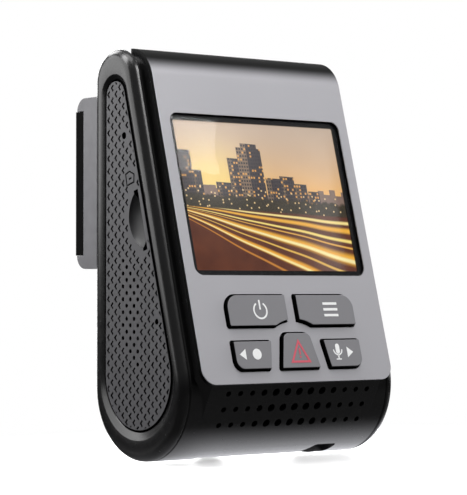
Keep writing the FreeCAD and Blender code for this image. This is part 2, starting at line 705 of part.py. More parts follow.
window = new_body("screen_window", "face")
gap = size("window_gap")
pane = polygon(rectangle(-window_half + gap, window_half - gap, window_low + gap, window_high - gap,
                         size("window_corner") - gap))
pad(window, sketch(window, "XY_Plane", [pane], offset="-Sizes.panel_thick"),
    "Sizes.panel_thick - Sizes.window_sink", middle=False)

display = new_body("display_module", "face")
block(display, ("-Sizes.display_wide / 2", "Sizes.display_wide / 2"),
      (display_mid + " - Sizes.display_tall / 2", display_mid + " + Sizes.display_tall / 2"),
      ("-Sizes.panel_thick - Sizes.display_thick", "-Sizes.panel_thick"))

# ---------------------------------------------------------------- keys

PLUNGER_SPOTS = {
    "power_key": (-8.5, 13.9), "menu_key": (8.5, 13.9), "record_key": (-11.4, 5.2),
    "event_key": (0.0, 5.4), "voice_key": (11.4, 5.2),
}
for label, corners, notched in KEYS:
    key = new_body(label, "face")
    cap = key_loop(corners, notched, -size("key_gap"))
    pad(key, sketch(key, "XY_Plane", [cap], offset="-Sizes.panel_thick - 0.5"),
        "Sizes.panel_thick + Sizes.key_proud + 0.5", middle=False)
    flange = key_loop(corners, notched, size("key_flange"))
    pad(key, sketch(key, "XY_Plane", [flange], offset="-Sizes.panel_thick - 0.85"), 0.8, middle=False)
    spot = PLUNGER_SPOTS[label]
    rod(key, "z", 1.0, (spot[0], spot[1], "-Sizes.panel_thick - 1.35"), 0.6)

switches = new_body("key_switches", "face")
key_board = new_body("key_board", "face")
board_top = "-Sizes.key_board_sink"
block(key_board, (-19, 19), (2.6, 18.4), (board_top + " - Sizes.key_board_thick", board_top))
for spot in PLUNGER_SPOTS.values():
    block(switches, (spot[0] - 1.6, spot[0] + 1.6), (spot[1] - 1.6, spot[1] + 1.6),
          (board_top, board_top + " + 1.0"))
    rod(switches, "z", 0.8, (spot[0], spot[1], board_top + " + 0.9"), 0.68)
key_board_screws = new_body("key_board_screws", "face")
for x in (-18.0, 18.0):
    under = board_top + " - Sizes.key_board_thick"
    rod(key_board, "z", 0.75, (x, 10.2, under + " - 1"), 4, cut=True)
    rod(key_board_screws, "z", 1.3, (x, 10.2, under + " - 0.7"), 0.7)
    rod(key_board_screws, "z", 0.7, (x, 10.2, under + " - 0.1"), "0.1 + Sizes.key_board_thick + 2.0")
# ---------------------------------------------------------------- boards and what they carry

chassis = new_body("display_chassis", "face")
back = "-Sizes.panel_thick - Sizes.display_thick"
seat = "-Sizes.face_lift - Sizes.wall - 0.05"
block(chassis, (-22.2, 22.2), (18.9, 57.5), (seat + " - 0.9", seat))
block(chassis, (-20.5, 20.5), (20.5, 53.0), (seat + " - 0.1", back))
BOARD_SCREWS = [(x, up) for x in (-20.2, 20.2) for up in (24.0, 54.4)]
for x, up in BOARD_SCREWS:
    rod(chassis, "z", 1.9, (x, up, "-Sizes.board_sink"), "Sizes.board_sink - 4.6")

main_board = new_body("main_board", "face")
main_back = "-Sizes.board_sink - Sizes.board_thick"
block(main_board, ("-Sizes.board_half", "Sizes.board_half"), ("Sizes.board_low", "Sizes.board_high"),
      (main_back, "-Sizes.board_sink"))

board_screws = new_body("board_screws", "face")
for x, up in BOARD_SCREWS:
    rod(board_screws, "z", 1.6, (x, up, main_back + " - 0.9"), 0.9)
    rod(board_screws, "z", 0.8, (x, up, main_back + " - 0.2"), "0.2 + Sizes.board_thick + 1.8")
    rod(main_board, "z", 0.85, (x, up, main_back + " - 1"), "Sizes.board_thick + 2", cut=True)
    rod(chassis, "z", 0.8, (x, up, "-Sizes.board_sink - 1"), 2.8, cut=True)

card_socket = new_body("card_socket", "face")
slot_mid = "-Sizes.card_sink"
block(card_socket, ("-Sizes.board_half - 0.8", -9.4), ("Sizes.card_rise - 7", "Sizes.card_rise + 7"),
      ("-Sizes.board_sink", slot_mid + " + 0.9"))
block(card_socket, (-25, -10.0), ("Sizes.card_rise - Sizes.card_wide / 2", "Sizes.card_rise + Sizes.card_wide / 2"),
      (slot_mid + " - Sizes.card_thick / 2", slot_mid + " + Sizes.card_thick / 2"), cut=True)

processor = new_body("processor", "face")
block(processor, (-4, 8), (23.5, 35.5), (main_back + " - 1.2", main_back))
heat_plate = new_body("heat_plate", "face")
block(heat_plate, (-6, 10), (21.6, 37.4), (main_back + " - 2.2", main_back + " - 1.2"))

cells = new_body("supercapacitors", "face")
for up in (42.2, 50.8):
    rod(cells, "x", 3.4, (-8, up, main_back + " - 3.5"), 21)

usb = new_body("usb_socket", "face")
usb_mid = "(" + main_back + " - 2.3)"
block(usb, (15.4, "Sizes.board_half + 0.8"), (38.6, 47.0), (main_back + " - 4.6", main_back))
block(usb, (16.4, 25), (39.2, 46.4), (usb_mid + " - 1.75", usb_mid + " + 1.75"), cut=True)
block(usb, (16.3, 22.6), (40.4, 45.2), (usb_mid + " - 0.4", usb_mid + " + 0.4"))

jack = new_body("av_socket", "face")
block(jack, (12.6, "Sizes.board_half + 0.8"), (28.0, 34.4), (main_back + " - 5.4", main_back))
rod(jack, "x", 1.8, (13.6, 31.2, main_back + " - 2.7"), 12, cut=True)

reset = new_body("reset_switch", "face")
reset_up, reset_out = upright_to_face(-size("reset_in"), size("reset_up"))
block(reset, ("-Sizes.board_half - 0.2", "-Sizes.board_half + 3.8"), (reset_up - 1.6, reset_up + 1.6),
      ("-Sizes.board_sink", "-Sizes.board_sink + 1.7"))

speaker = new_body("speaker")
rod(speaker, "x", 5.8, ("-Sizes.core_half + Sizes.spigot_deep + 0.1", "-Sizes.sound_in", "Sizes.sound_up"), 1.0)
rod(speaker, "x", 4.6, ("-Sizes.core_half + Sizes.spigot_deep + 1.0", "-Sizes.sound_in", "Sizes.sound_up"), 2.6)

microphone = new_body("microphone")
rod(microphone, "x", 1.9, ("-Sizes.core_half + 0.1", "-Sizes.mic_in", "Sizes.mic_up"), 1.6)

housing_screws = new_body("housing_screws")
for sign in ("-", ""):
    for x, up, reach in ((sign + "Sizes.screw_low_x", "Sizes.screw_low_up", 10),
                         (sign + "Sizes.screw_high_x", "Sizes.screw_high_up", 8.5)):
        rod(housing_screws, "y", "Sizes.screw_head_rad", (x, "-Sizes.screw_head_tall - 0.2", up),
            "Sizes.screw_head_tall")
        rod(housing_screws, "y", "Sizes.screw_shank_rad - 0.02", (x, "-%s - 1.2" % reach, up), reach)

# ---------------------------------------------------------------- side caps and inserts


def on_rim(edge):
    """Edges of a side cap's outer rim, on its outermost plane."""
    half = size("cap_half")
    return all(abs(abs(v.Point.x) - half) < 1e-6 for v in edge.Vertexes) and \
        abs(abs(edge.CenterOfMass.x) - half) < 1e-6


def card_slot_loop():
    """The card's way in, parallel to the screen face, through the side."""
    up = size("card_rise")
    out = -size("card_sink")
    half = size("card_wide") / 2 + 0.2
    thin = size("card_thick") / 2 + 0.15
    corners = [face_to_upright(up - half, out - thin), face_to_upright(up - half, out + thin),
               face_to_upright(up + half, out + thin), face_to_upright(up + half, out - thin)]
    return polygon([(y, z, 0) for y, z in corners][::-1])


def port_loop(low, high, out_low, out_high, rad):
    """A rounded port on the right side, from face-frame bounds."""
    corners = [face_to_upright(low, out_low), face_to_upright(low, out_high),
               face_to_upright(high, out_high), face_to_upright(high, out_low)]
    return polygon([(y, z, rad) for y, z in corners][::-1])


def sound_spots():
    """Centres of the speaker holes: five columns, each half a pitch lower than the last."""
    pitch = size("sound_pitch")
    middle = (size("sound_count") - 1) / 2
    spots = []
    for column in range(-2, 3):
        for number in range(int(size("sound_count"))):
            spots.append((-size("sound_in") - column * size("sound_step"),
                          size("sound_up") + (number - middle) * pitch - column * pitch / 2))
    return spots


main_back_out = -size("board_sink") - size("board_thick")
LEFT_HOLES = [ring((-size("reset_in"), size("reset_up")), size("reset_rad")),
              ring((-size("mic_in"), size("mic_up")), size("mic_rad")),
              card_slot_loop()]
LEFT_HOLES += [ring(spot, size("sound_rad")) for spot in sound_spots()]
jack_mid = face_to_upright(31.2, main_back_out - 2.7)
RIGHT_HOLES = [port_loop(38.9, 46.7, main_back_out - 4.3, main_back_out - 0.3, 0.8),
               ring(jack_mid, 2.3)]

for side, sign, holes in (("left", "-", LEFT_HOLES), ("right", "", RIGHT_HOLES)):
    outwards = 1 if sign == "" else -1
    cap = new_body(side + "_side_cap")
    loop = sketch(cap, "YZ_Plane", [wedge_loop(0)], offset=sign + "Sizes.core_half")
    pad(cap, loop, "Sizes.cap_depth", middle=False, reverse=outwards < 0)
    doc.recompute()
    dress(cap, "Fillet", edges_where(cap.Tip, on_rim), "Radius", "Sizes.cap_round")
    dress(cap, "Chamfer", edges_where(cap.Tip, is_side_seam), "Size", "Sizes.seam_bevel")
    sunk = sketch(cap, "YZ_Plane", [recess_loop(0)], offset=sign + "Sizes.cap_half")
    pocket(cap, sunk, "Sizes.recess_sink", middle=False, reverse=outwards < 0)
    outer_lip = wedge_loop(size("wall") + size("fit_gap"))
    inner_lip = wedge_loop(size("wall") + size("fit_gap") + 1.0)
    lip = sketch(cap, "YZ_Plane", [outer_lip, inner_lip], offset=sign + "Sizes.core_half")
    pad(cap, lip, "Sizes.spigot_deep", middle=False, reverse=outwards > 0)
    doc.recompute()
    through = sketch(cap, "YZ_Plane", holes, offset=sign + "(Sizes.cap_half + 1)")
    pocket(cap, through, "Sizes.cap_depth + 1.5", middle=False, reverse=outwards < 0)

    insert = new_body(side + "_side_insert")
    leaf = sketch(insert, "YZ_Plane", [recess_loop(size("insert_gap"))],
                  offset=sign + "(Sizes.cap_half - Sizes.recess_sink)")
    pad(insert, leaf, "Sizes.insert_thick", middle=False, reverse=outwards < 0)
    doc.recompute()
    rim_x = size("cap_half") - size("recess_sink") + size("insert_thick")
    dress(insert, "Fillet", edges_where(insert.Tip, lambda e: all(
        abs(abs(v.Point.x) - rim_x) < 1e-6 for v in e.Vertexes) and
        abs(abs(e.CenterOfMass.x) - rim_x) < 1e-6), "Radius", 0.3)
    through = sketch(insert, "YZ_Plane", holes, offset=sign + "(Sizes.cap_half + 1)")
    pocket(insert, through, "Sizes.recess_sink + 2", middle=False, reverse=outwards < 0)
    if side == "left":
        # A half-moon finger notch beside the card slot.
        slot_mid_y, slot_mid_z = face_to_upright(size("card_rise"), -size("card_sink"))
        moon = sketch(insert, "YZ_Plane", [ring((slot_mid_y - 3.2, slot_mid_z), 5.4)],
                      offset=sign + "(Sizes.cap_half + 1)")
        pocket(insert, moon, "1 + Sizes.recess_sink - Sizes.insert_thick + 0.7", middle=False,
               reverse=outwards < 0)

# ---------------------------------------------------------------- drum bay

bay = new_body("drum_bay")
bay_in = size("drum_rad") + size("drum_gap")
bay_out = bay_in + size("bay_wall")
drum_y = -size("drum_in")
drum_z = size("drum_up")


def bay_shape(grow_by, roof):
    """Round bay about the drum axis, squared off towards the front face."""
    rad = bay_in + grow_by
    top = roof
    meet = math.sqrt(rad ** 2 - (top - drum_z) ** 2)
    return [
        arc((drum_y, drum_z), rad, math.atan2(top - drum_z, meet), 2 * math.pi),
        line((drum_y + rad, drum_z), (drum_y + rad, top)),
        line((drum_y + rad, top), (drum_y + meet, top)),
    ]


bay_total = "2 * (Sizes.drum_half + Sizes.drum_gap + Sizes.bay_cheek)"
bay_clear = "2 * (Sizes.drum_half + Sizes.drum_gap)"
outer = bay_shape(size("bay_wall"), size("bay_top") + size("bay_wall"))
pad(bay, sketch(bay, "YZ_Plane", [outer]), bay_total)
doc.recompute()
pocket(bay, sketch(bay, "YZ_Plane", [bay_shape(0, size("bay_top"))]), bay_clear)
# Only what lies inside the housing's wall is kept.
block(bay, ("-(Sizes.drum_half + Sizes.drum_gap)", "Sizes.drum_half + Sizes.drum_gap"),
      ("-Sizes.drum_in", 1), (2, "Sizes.bay_top"), cut=True)
frame_out = polygon(rectangle(-60, 40, -40, 80))
keep = wedge_loop(size("wall") + size("fit_gap"))
pocket(bay, sketch(bay, "YZ_Plane", [frame_out, keep]), "60")
rod(bay, "x", "Sizes.pivot_rad + Sizes.pivot_gap", (-30, "-Sizes.drum_in", "Sizes.drum_up"), 60, cut=True)
# The lower-front bosses of the housing pass beside the bay, which stays clear of them.

# ---------------------------------------------------------------- lens drum

shell = new_body("drum_front_shell", "drum")
rod(shell, "x", "Sizes.drum_rad", ("-Sizes.drum_half", 0, 0), "2 * Sizes.drum_half")
rod(shell, "y", "Sizes.collar_rad", (0, 4, 0), "Sizes.collar_reach - 4")
rod(shell, "x", "Sizes.drum_rad - Sizes.drum_wall", ("-Sizes.drum_half + Sizes.drum_wall", 0, 0),
    "2 * (Sizes.drum_half - Sizes.drum_wall)", cut=True)
rod(shell, "y", "Sizes.collar_rad - 0.4", (0, 5.0, 0), "4.0")
rod(shell, "y", "Sizes.barrel_rad + Sizes.barrel_gap", (0, 0, 0), 20, cut=True)
block(shell, (-20, 20), (-20, "-Sizes.drum_split"), (-20, 20), cut=True)
rod(shell, "x", "Sizes.pivot_rad", ("-Sizes.drum_half - Sizes.drum_gap - Sizes.bay_cheek", 0, 0),
    "Sizes.drum_gap + Sizes.bay_cheek + 0.5")
rod(shell, "x", "Sizes.pivot_rad", ("Sizes.drum_half - 0.5", 0, 0), "Sizes.drum_gap + Sizes.bay_cheek + 0.5")

rear_shell = new_body("drum_rear_shell", "drum")
rod(rear_shell, "x", "Sizes.drum_rad", ("-Sizes.drum_half", 0, 0), "2 * Sizes.drum_half")
rod(rear_shell, "x", "Sizes.drum_rad - Sizes.drum_wall", ("-Sizes.drum_half + Sizes.drum_wall", 0, 0),
    "2 * (Sizes.drum_half - Sizes.drum_wall)", cut=True)
block(rear_shell, (-20, 20), ("-Sizes.drum_split", 20), (-20, 20), cut=True)

barrel = new_body("lens_barrel", "drum")
rod(barrel, "y", "Sizes.barrel_rad", (0, 1.2, 0), "Sizes.collar_reach - 0.6")
rod(barrel, "y", "Sizes.barrel_rad - 0.9", (0, 6.5, 0), 12, cut=True)
rod(barrel, "y", 3.4, (0, 0, 0), 12, cut=True)

trim = new_body("lens_trim_ring", "drum")
rod(trim, "y", "Sizes.collar_rad - 0.1", (0, "Sizes.collar_reach", 0), 1.4)
rod(trim, "y", "Sizes.barrel_rad + Sizes.barrel_gap", (0, 0, 0), 20, cut=True)

# The front glass is a shallow dome turned about the lens axis.
glass = new_body("lens_front_glass", "drum")
glass_rad = size("barrel_rad") - 0.95
glass_low = size("collar_reach") - 2.0
glass_rim = glass_low + 1.1
glass_sag = 1.1
dome_rad = (glass_rad ** 2 + glass_sag ** 2) / (2 * glass_sag)
dome_mid = glass_rim + glass_sag - dome_rad
half_section = [
    line((0, glass_low), (glass_rad, glass_low)),
    line((glass_rad, glass_low), (glass_rad, glass_rim)),
    arc((0, dome_mid), dome_rad, math.asin((glass_rim - dome_mid) / dome_rad), math.pi / 2),
    line((0, glass_rim + glass_sag), (0, glass_low)),
]
glass_sketch = sketch(glass, "XY_Plane", [half_section])
turned = glass.newObject("PartDesign::Revolution", "lens_front_glass_turned")
turned.Profile = glass_sketch
turned.ReferenceAxis = (glass_sketch, ["V_Axis"])
turned.Angle = 360

inner_glass = new_body("lens_inner_glass", "drum")
rod(inner_glass, "y", 3.35, (0, 3.0, 0), 1.6)

holder = new_body("lens_holder", "drum")
block(holder, (-7.0, 7.0), (-2.4, 1.1), (-7.0, 7.0))
rod(holder, "y", 5.4, (0, -10, 0), 20, cut=True)

sensor_board = new_body("sensor_board", "drum")
block(sensor_board, (-8.2, 8.2), (-3.4, -2.4), ("-Sizes.drum_rad + 3.6", "Sizes.drum_rad - 3.6"))
sensor = new_body("image_sensor", "drum")
block(sensor, (-3.6, 3.6), (-2.4, -1.4), (-3.0, 3.0))
infrared = new_body("infrared_filter", "drum")
rod(infrared, "y", 3.35, (0, 1.25, 0), 0.5)

drum_screws = new_body("drum_screws", "drum")
screw_x = size("drum_half") - size("drum_wall") - 1.5
for x in (-screw_x, screw_x):
    rod(drum_screws, "y", 1.6, (x, "-Sizes.drum_rad + 0.9", 0), 0.9)
    rod(drum_screws, "y", 0.8, (x, "-Sizes.drum_rad + 1.6", 0), "Sizes.drum_rad - 3.2")
    rod(rear_shell, "y", 2.0, (x, "-Sizes.drum_rad + 0.7", 0), "Sizes.drum_rad - 0.7 - Sizes.drum_split")
    rod(shell, "y", 1.9, (x, "-Sizes.drum_split + 0.2", 0), 2.2)
    for shell_body in (rear_shell, shell):
        rod(shell_body, "y", 0.85, (x, -20, 0), 19.5, cut=True)
    rod(rear_shell, "y", 1.75, (x, -20, 0), "20 - Sizes.drum_rad + 1.85", cut=True)

# ---------------------------------------------------------------- windscreen bracket

base = new_body("bracket_base")
low = "Sizes.bracket_low"
high = "Sizes.bracket_high"
mid = "Sizes.bracket_mid"
plate_back = "(Sizes.bracket_air + Sizes.bracket_base_thick)"
block(base, ("-Sizes.bracket_half", "Sizes.bracket_half"), ("Sizes.bracket_air", plate_back), (low, high))
stop = "-Sizes.rail_half - Sizes.rail_gap"
block(base, (stop, "Sizes.bracket_half + 1"), (0, "Sizes.rail_neck_reach + 0.01"),
      (mid + " - Sizes.rail_neck - Sizes.rail_gap", mid + " + Sizes.rail_neck + Sizes.rail_gap"), cut=True)
block(base, (stop, "Sizes.bracket_half + 1"),
      ("Sizes.rail_neck_reach - Sizes.rail_gap", "Sizes.rail_head_reach + Sizes.rail_gap"),
      (mid + " - Sizes.rail_head - Sizes.rail_gap", mid + " + Sizes.rail_head + Sizes.rail_gap"), cut=True)

cover = new_body("bracket_cover")
pad_face = "Sizes.bracket_depth"
pad_back = "(Sizes.bracket_depth - Sizes.pad_thick)"
block(cover, ("-Sizes.bracket_half", "Sizes.bracket_half"), (plate_back, pad_face + " - 0.3"), (low, high))
doc.recompute()


def long_outer(edge):
    """The cover's two long edges on its windscreen side."""
    ends = [v.Point for v in edge.Vertexes]
    far = size("bracket_depth") - 0.3
    return len(ends) == 2 and abs(ends[0].x - ends[1].x) > 10 and all(abs(p.y - far) < 1e-6 for p in ends)


dress(cover, "Fillet", edges_where(cover.Tip, long_outer), "Radius", "Sizes.bracket_round")
block(cover, ("-Sizes.bracket_half - 1", "Sizes.bracket_half + 1"), (pad_back, pad_face + " + 1"),
      (mid + " - Sizes.pad_tall / 2", mid + " + Sizes.pad_tall / 2"), cut=True)
block(cover, ("-Sizes.bracket_half + Sizes.wall", "Sizes.bracket_half - Sizes.wall"),
      (plate_back + " - 1", pad_back + " - 1.2"), (low + " + Sizes.wall", high + " - Sizes.wall"), cut=True)
for x in (-18.8, 18.8):
    for shift in (-13.2, 13.2):
        rod(cover, "y", 1.9, (x, plate_back, "%s + (%s)" % (mid, shift)), "Sizes.bracket_depth - Sizes.pad_thick"
            " - 1.1 - %s" % plate_back)

adhesive = new_body("adhesive_pad")
block(adhesive, ("-Sizes.bracket_half", "Sizes.bracket_half"), (pad_back, pad_face),
      (mid + " - Sizes.pad_tall / 2 + 0.05", mid + " + Sizes.pad_tall / 2 - 0.05"))

bracket_screws = new_body("bracket_screws")
for x in (-18.8, 18.8):
    for shift in (-13.2, 13.2):
        up = "%s + (%s)" % (mid, shift)
        rod(bracket_screws, "y", 1.6, (x, "Sizes.bracket_air + 0.2", up), 1.0)
        rod(bracket_screws, "y", 0.8, (x, "Sizes.bracket_air + 1.0", up), 4.6)
        rod(base, "y", 1.7, (x, 0, up), "Sizes.bracket_air + 1.2", cut=True)
        rod(base, "y", 0.85, (x, 0, up), 8, cut=True)
        rod(cover, "y", 0.8, (x, 2, up), "Sizes.bracket_air + 1.0 + 4.6 - 2 + 0.05", cut=True)

gps_board = new_body("position_board")
gps_seat = plate_back
block(gps_board, (-14, 14), (gps_seat + " + 0.1", gps_seat + " + 0.9"), (mid + " - 9", mid + " + 9"))
patch = new_body("position_antenna")
block(patch, (-7, 7), (gps_seat + " + 0.9", gps_seat + " + 2.7"), (mid + " - 7", mid + " + 7"))
pins = new_body("contact_pins")
for number in range(4):
    x = -4.5 + 3.0 * number
    rod(pins, "y", 0.45, (x, "Sizes.rail_head_reach + 0.1", mid), "%s - Sizes.rail_head_reach" % gps_seat)
    rod(base, "y", 0.5, (x, 2, mid), 8, cut=True)

# ---------------------------------------------------------------- checks and export

doc.recompute()
for item in doc.Objects:
    if "Invalid" in item.State or "Error" in item.State:
        raise RuntimeError("%s did not build: %s" % (item.Label, item.State))
os.makedirs("parts", exist_ok=True)
for body in NODES:
    if body.Shape.isNull() or not body.Shape.isValid() or not body.Shape.Solids:
        raise RuntimeError(body.Label + " has no valid solid")
for body in NODES:
    body.Shape.exportStep("parts/%s.step" % body.Label)
    print(body.Label, len(body.Shape.Solids), round(body.Shape.Volume, 2))
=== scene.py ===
# %% [markdown]
# # A dash camera, finished for looks
#
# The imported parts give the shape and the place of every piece, in metres, with the origin
# at the middle of the adhesive pad. This lesson loads them, gives each one a finish made of
# shader nodes, and rebuilds the outer pieces whose rounding or pattern the CAD part leaves
# out: the side rings, the grip inserts, the keys, the screen and the lens.

import math

import bmesh
import bpy
from mathutils import Matrix, Vector


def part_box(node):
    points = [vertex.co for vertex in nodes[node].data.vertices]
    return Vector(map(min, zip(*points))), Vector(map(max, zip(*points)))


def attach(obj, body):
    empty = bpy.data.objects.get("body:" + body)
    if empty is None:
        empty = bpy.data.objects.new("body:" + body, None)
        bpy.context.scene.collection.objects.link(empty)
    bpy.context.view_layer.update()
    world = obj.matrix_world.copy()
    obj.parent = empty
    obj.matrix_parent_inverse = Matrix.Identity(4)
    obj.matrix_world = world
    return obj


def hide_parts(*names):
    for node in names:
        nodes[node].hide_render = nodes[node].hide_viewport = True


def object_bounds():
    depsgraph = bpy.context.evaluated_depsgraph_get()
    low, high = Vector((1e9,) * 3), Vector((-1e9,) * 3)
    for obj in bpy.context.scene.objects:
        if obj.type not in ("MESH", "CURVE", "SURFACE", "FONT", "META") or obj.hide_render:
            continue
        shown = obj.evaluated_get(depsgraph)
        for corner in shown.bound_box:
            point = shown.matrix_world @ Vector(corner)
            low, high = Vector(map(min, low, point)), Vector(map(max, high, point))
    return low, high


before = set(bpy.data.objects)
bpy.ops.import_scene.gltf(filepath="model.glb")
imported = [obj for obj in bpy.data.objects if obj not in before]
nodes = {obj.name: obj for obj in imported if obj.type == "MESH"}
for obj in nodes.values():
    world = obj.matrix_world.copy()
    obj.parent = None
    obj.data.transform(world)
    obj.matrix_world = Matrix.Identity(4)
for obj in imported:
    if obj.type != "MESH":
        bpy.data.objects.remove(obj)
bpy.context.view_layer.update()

# %% [markdown]
# ## Two ways of saying where something is
#
# Most of the camera is drawn in an upright frame: X across, depth behind the flat front,
# rise above the round bottom. The screen side leans back by about fifteen degrees, so what
# sits on it is easier to place by how far up the slope it is and how far out of it. Two
# small functions turn either into a point of the model.

# %% Frames
MM = 0.001
PAD_TO_BODY = 11.0      # adhesive face to the camera's flat front
PAD_TO_BOTTOM = 53.2    # pad's middle down to the round bottom
BASE_RAD = 13.93
CROWN_RAD = 6.24
WEDGE_TALL = 77.56
CORE_HALF = 24.4        # side seams
CAP_HALF = 26.6         # outermost planes of the side caps
BEND_RAD = 7.24         # outer bend of the panel over the top
FOOT_RISE = 14.92       # lower edge of the panel

LEAN = 2 * math.atan((BASE_RAD - CROWN_RAD) / (WEDGE_TALL - CROWN_RAD - BASE_RAD))
SLOPE = Vector((0, math.sin(LEAN), math.cos(LEAN)))
OUTWARD = Vector((0, -math.cos(LEAN), math.sin(LEAN)))
foot_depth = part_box("face_panel")[0].y
FOOT = Vector((0, foot_depth, (FOOT_RISE - PAD_TO_BOTTOM) * MM))
PANEL_PROUD = 0.78      # the panel's top above the wedge's
BEND_UP = ((WEDGE_TALL + PANEL_PROUD - BEND_RAD - FOOT_RISE + BEND_RAD * math.sin(LEAN))
           / math.cos(LEAN))


def on_face(x, up, out=0.0):
    """A point x across, up the slope and out of the panel, all in mm."""
    return FOOT + (Vector((x, 0, 0)) + SLOPE * up + OUTWARD * out) * MM


def upright(x, depth, rise):
    """A point x across, depth (negative towards the screen) and rise above the bottom, in mm."""
    return Vector((x, depth - PAD_TO_BODY, rise - PAD_TO_BOTTOM)) * MM


def along_slope(middle, up, out):
    """The (depth, rise) that lies some way up the slope and out of it from another."""
    return (middle[0] + up * SLOPE.y + out * OUTWARD.y,
            middle[1] + up * SLOPE.z + out * OUTWARD.z)


def slope_offset(middle, depth, rise):
    """How far up the slope and out of it a (depth, rise) lies from a middle, in mm."""
    across, above = depth - middle[0], rise - middle[1]
    return across * SLOPE.y + above * SLOPE.z, across * OUTWARD.y + above * OUTWARD.z


def linked(name, data):
    """A new object of some data, in the scene."""
    obj = bpy.data.objects.new(name, data)
    bpy.context.scene.collection.objects.link(obj)
    return obj


print("lean %.2f degrees, panel bends %.1f mm up the slope" % (math.degrees(LEAN), BEND_UP))

# %% [markdown]
# ## Shader maths as plain expressions
#
# A Math node adds two values, but a page of nodes is hard to read. `Value` wraps a socket,
# and its operators add the nodes, so a mask is written as an ordinary sum. `wire` adds any
# other node to any tree, and `Finish` holds one material: its shader, its object
# coordinates, and the few mixtures that every finish here uses.


# %% Value and Finish
class Value:
    """A number that changes over a surface."""

    def __init__(self, finish, socket):
        self.finish = finish
        self.socket = socket

    def math(self, operation, *others):
        node = self.finish.node("ShaderNodeMath", {"operation": operation}, (self, *others))
        return Value(self.finish, node.outputs[0])

    def __add__(self, other):
        return self.math("ADD", other)

    def __radd__(self, other):
        return self.math("ADD", other)

    def __sub__(self, other):
        return self.math("SUBTRACT", other)

    def __rsub__(self, other):
        return (self * -1.0).math("ADD", other)

    def __mul__(self, other):
        return self.math("MULTIPLY", other)

    def __rmul__(self, other):
        return self.math("MULTIPLY", other)

    def __truediv__(self, other):
        return self.math("DIVIDE", other)

    def __abs__(self):
        return self.math("ABSOLUTE")

    def above(self, edge, soft=0.0):
        """1 where the value passes an edge, 0 below it, with a soft step between."""
        if soft == 0.0:
            return self.math("GREATER_THAN", edge)
        node = self.finish.node("ShaderNodeMapRange", {"interpolation_type": "SMOOTHSTEP"},
                                {"Value": self, "From Min": edge - soft, "From Max": edge + soft})
        return Value(self.finish, node.outputs["Result"])

    def below(self, edge, soft=0.0):
        return 1.0 - self.above(edge, soft)

    def wrapped(self, pitch):
        """Distance from the nearest multiple of a pitch."""
        return abs((self + pitch * 0.5).math("FLOORED_MODULO", pitch) - pitch * 0.5)


def wire(tree, kind, settings=None, inputs=None):
    """Add a node: its settings first, then the values or links of its sockets."""
    node = tree.nodes.new(kind)
    for name, setting in (settings or {}).items():
        setattr(node, name, setting)
    pairs = inputs.items() if isinstance(inputs, dict) else enumerate(inputs or ())
    for key, given in pairs:
        given = given.socket if isinstance(given, Value) else given
        if isinstance(given, bpy.types.NodeSocket):
            tree.links.new(given, node.inputs[key])
        else:
            node.inputs[key].default_value = given
    return node


MIX_FACTOR, MIX_FIRST, MIX_SECOND, MIX_RESULT = 0, 6, 7, 2     # a Mix node's colour sockets


class Finish:
    """One procedural material and the nodes that make it."""

    def __init__(self, name, **constants):
        self.material = bpy.data.materials.new(name)
        self.material.use_nodes = True
        self.tree = self.material.node_tree
        self.shader = self.tree.nodes["Principled BSDF"]
        self.place = self.node("ShaderNodeTexCoord").outputs["Object"]
        for socket, constant in constants.items():
            self.shader.inputs[socket.replace("_", " ")].default_value = constant

    def node(self, kind, settings=None, inputs=None):
        return wire(self.tree, kind, settings, inputs)

    def drive(self, socket, value):
        """Let a value or a colour link set one of the shader's sockets."""
        link = value.socket if isinstance(value, Value) else value
        self.tree.links.new(link, self.shader.inputs[socket])

    def axes(self):
        """Object coordinates in mm, as three values."""
        split = self.node("ShaderNodeSeparateXYZ", None, (self.place,))
        return [Value(self, split.outputs[i]) * 1000.0 for i in range(3)]

    def slope_axes(self):
        """x, distance up the slope and distance out of the panel, in mm."""
        x, y, z = self.axes()
        depth = y - FOOT.y * 1000
        rise = z - FOOT.z * 1000
        return x, depth * SLOPE.y + rise * SLOPE.z, depth * OUTWARD.y + rise * OUTWARD.z

    def noise(self, per_mm, detail=2.0, roughness=0.5):
        """Smooth random grain between 0 and 1, with so many lumps in a millimetre."""
        node = self.node("ShaderNodeTexNoise", None, {
            "Vector": self.place, "Scale": per_mm * 1000, "Detail": detail, "Roughness": roughness})
        return Value(self, node.outputs["Fac"])

    def blend(self, mask, first, second):
        """A colour between two, by a mask."""
        first, second = (given if isinstance(given, bpy.types.NodeSocket) else (*given[:3], 1.0)
                         for given in (first, second))
        node = self.node("ShaderNodeMix", {"data_type": "RGBA"},
                         {MIX_FACTOR: mask, MIX_FIRST: first, MIX_SECOND: second})
        return node.outputs[MIX_RESULT]

    def bump(self, height, strength, distance_mm):
        node = self.node("ShaderNodeBump", None,
                         {"Strength": strength, "Distance": distance_mm * MM, "Height": height})
        self.drive("Normal", node.outputs[0])


def grey(level, cool=0.0):
    """A linear grey with a little blue in it."""
    return (level, level * (1 - cool * 0.25), level * (1 + cool), 1.0)


# %% [markdown]
# ## Black plastics
#
# Two blacks make most of the camera. The shells and rings are moulded from a polished tool,
# so they are glossy, with a faint waviness that breaks up long highlights. The bracket and
# the inner parts come from an eroded tool, which leaves a fine even grain. Both are made
# from noise on Object coordinates, so the grain keeps its size on every piece.

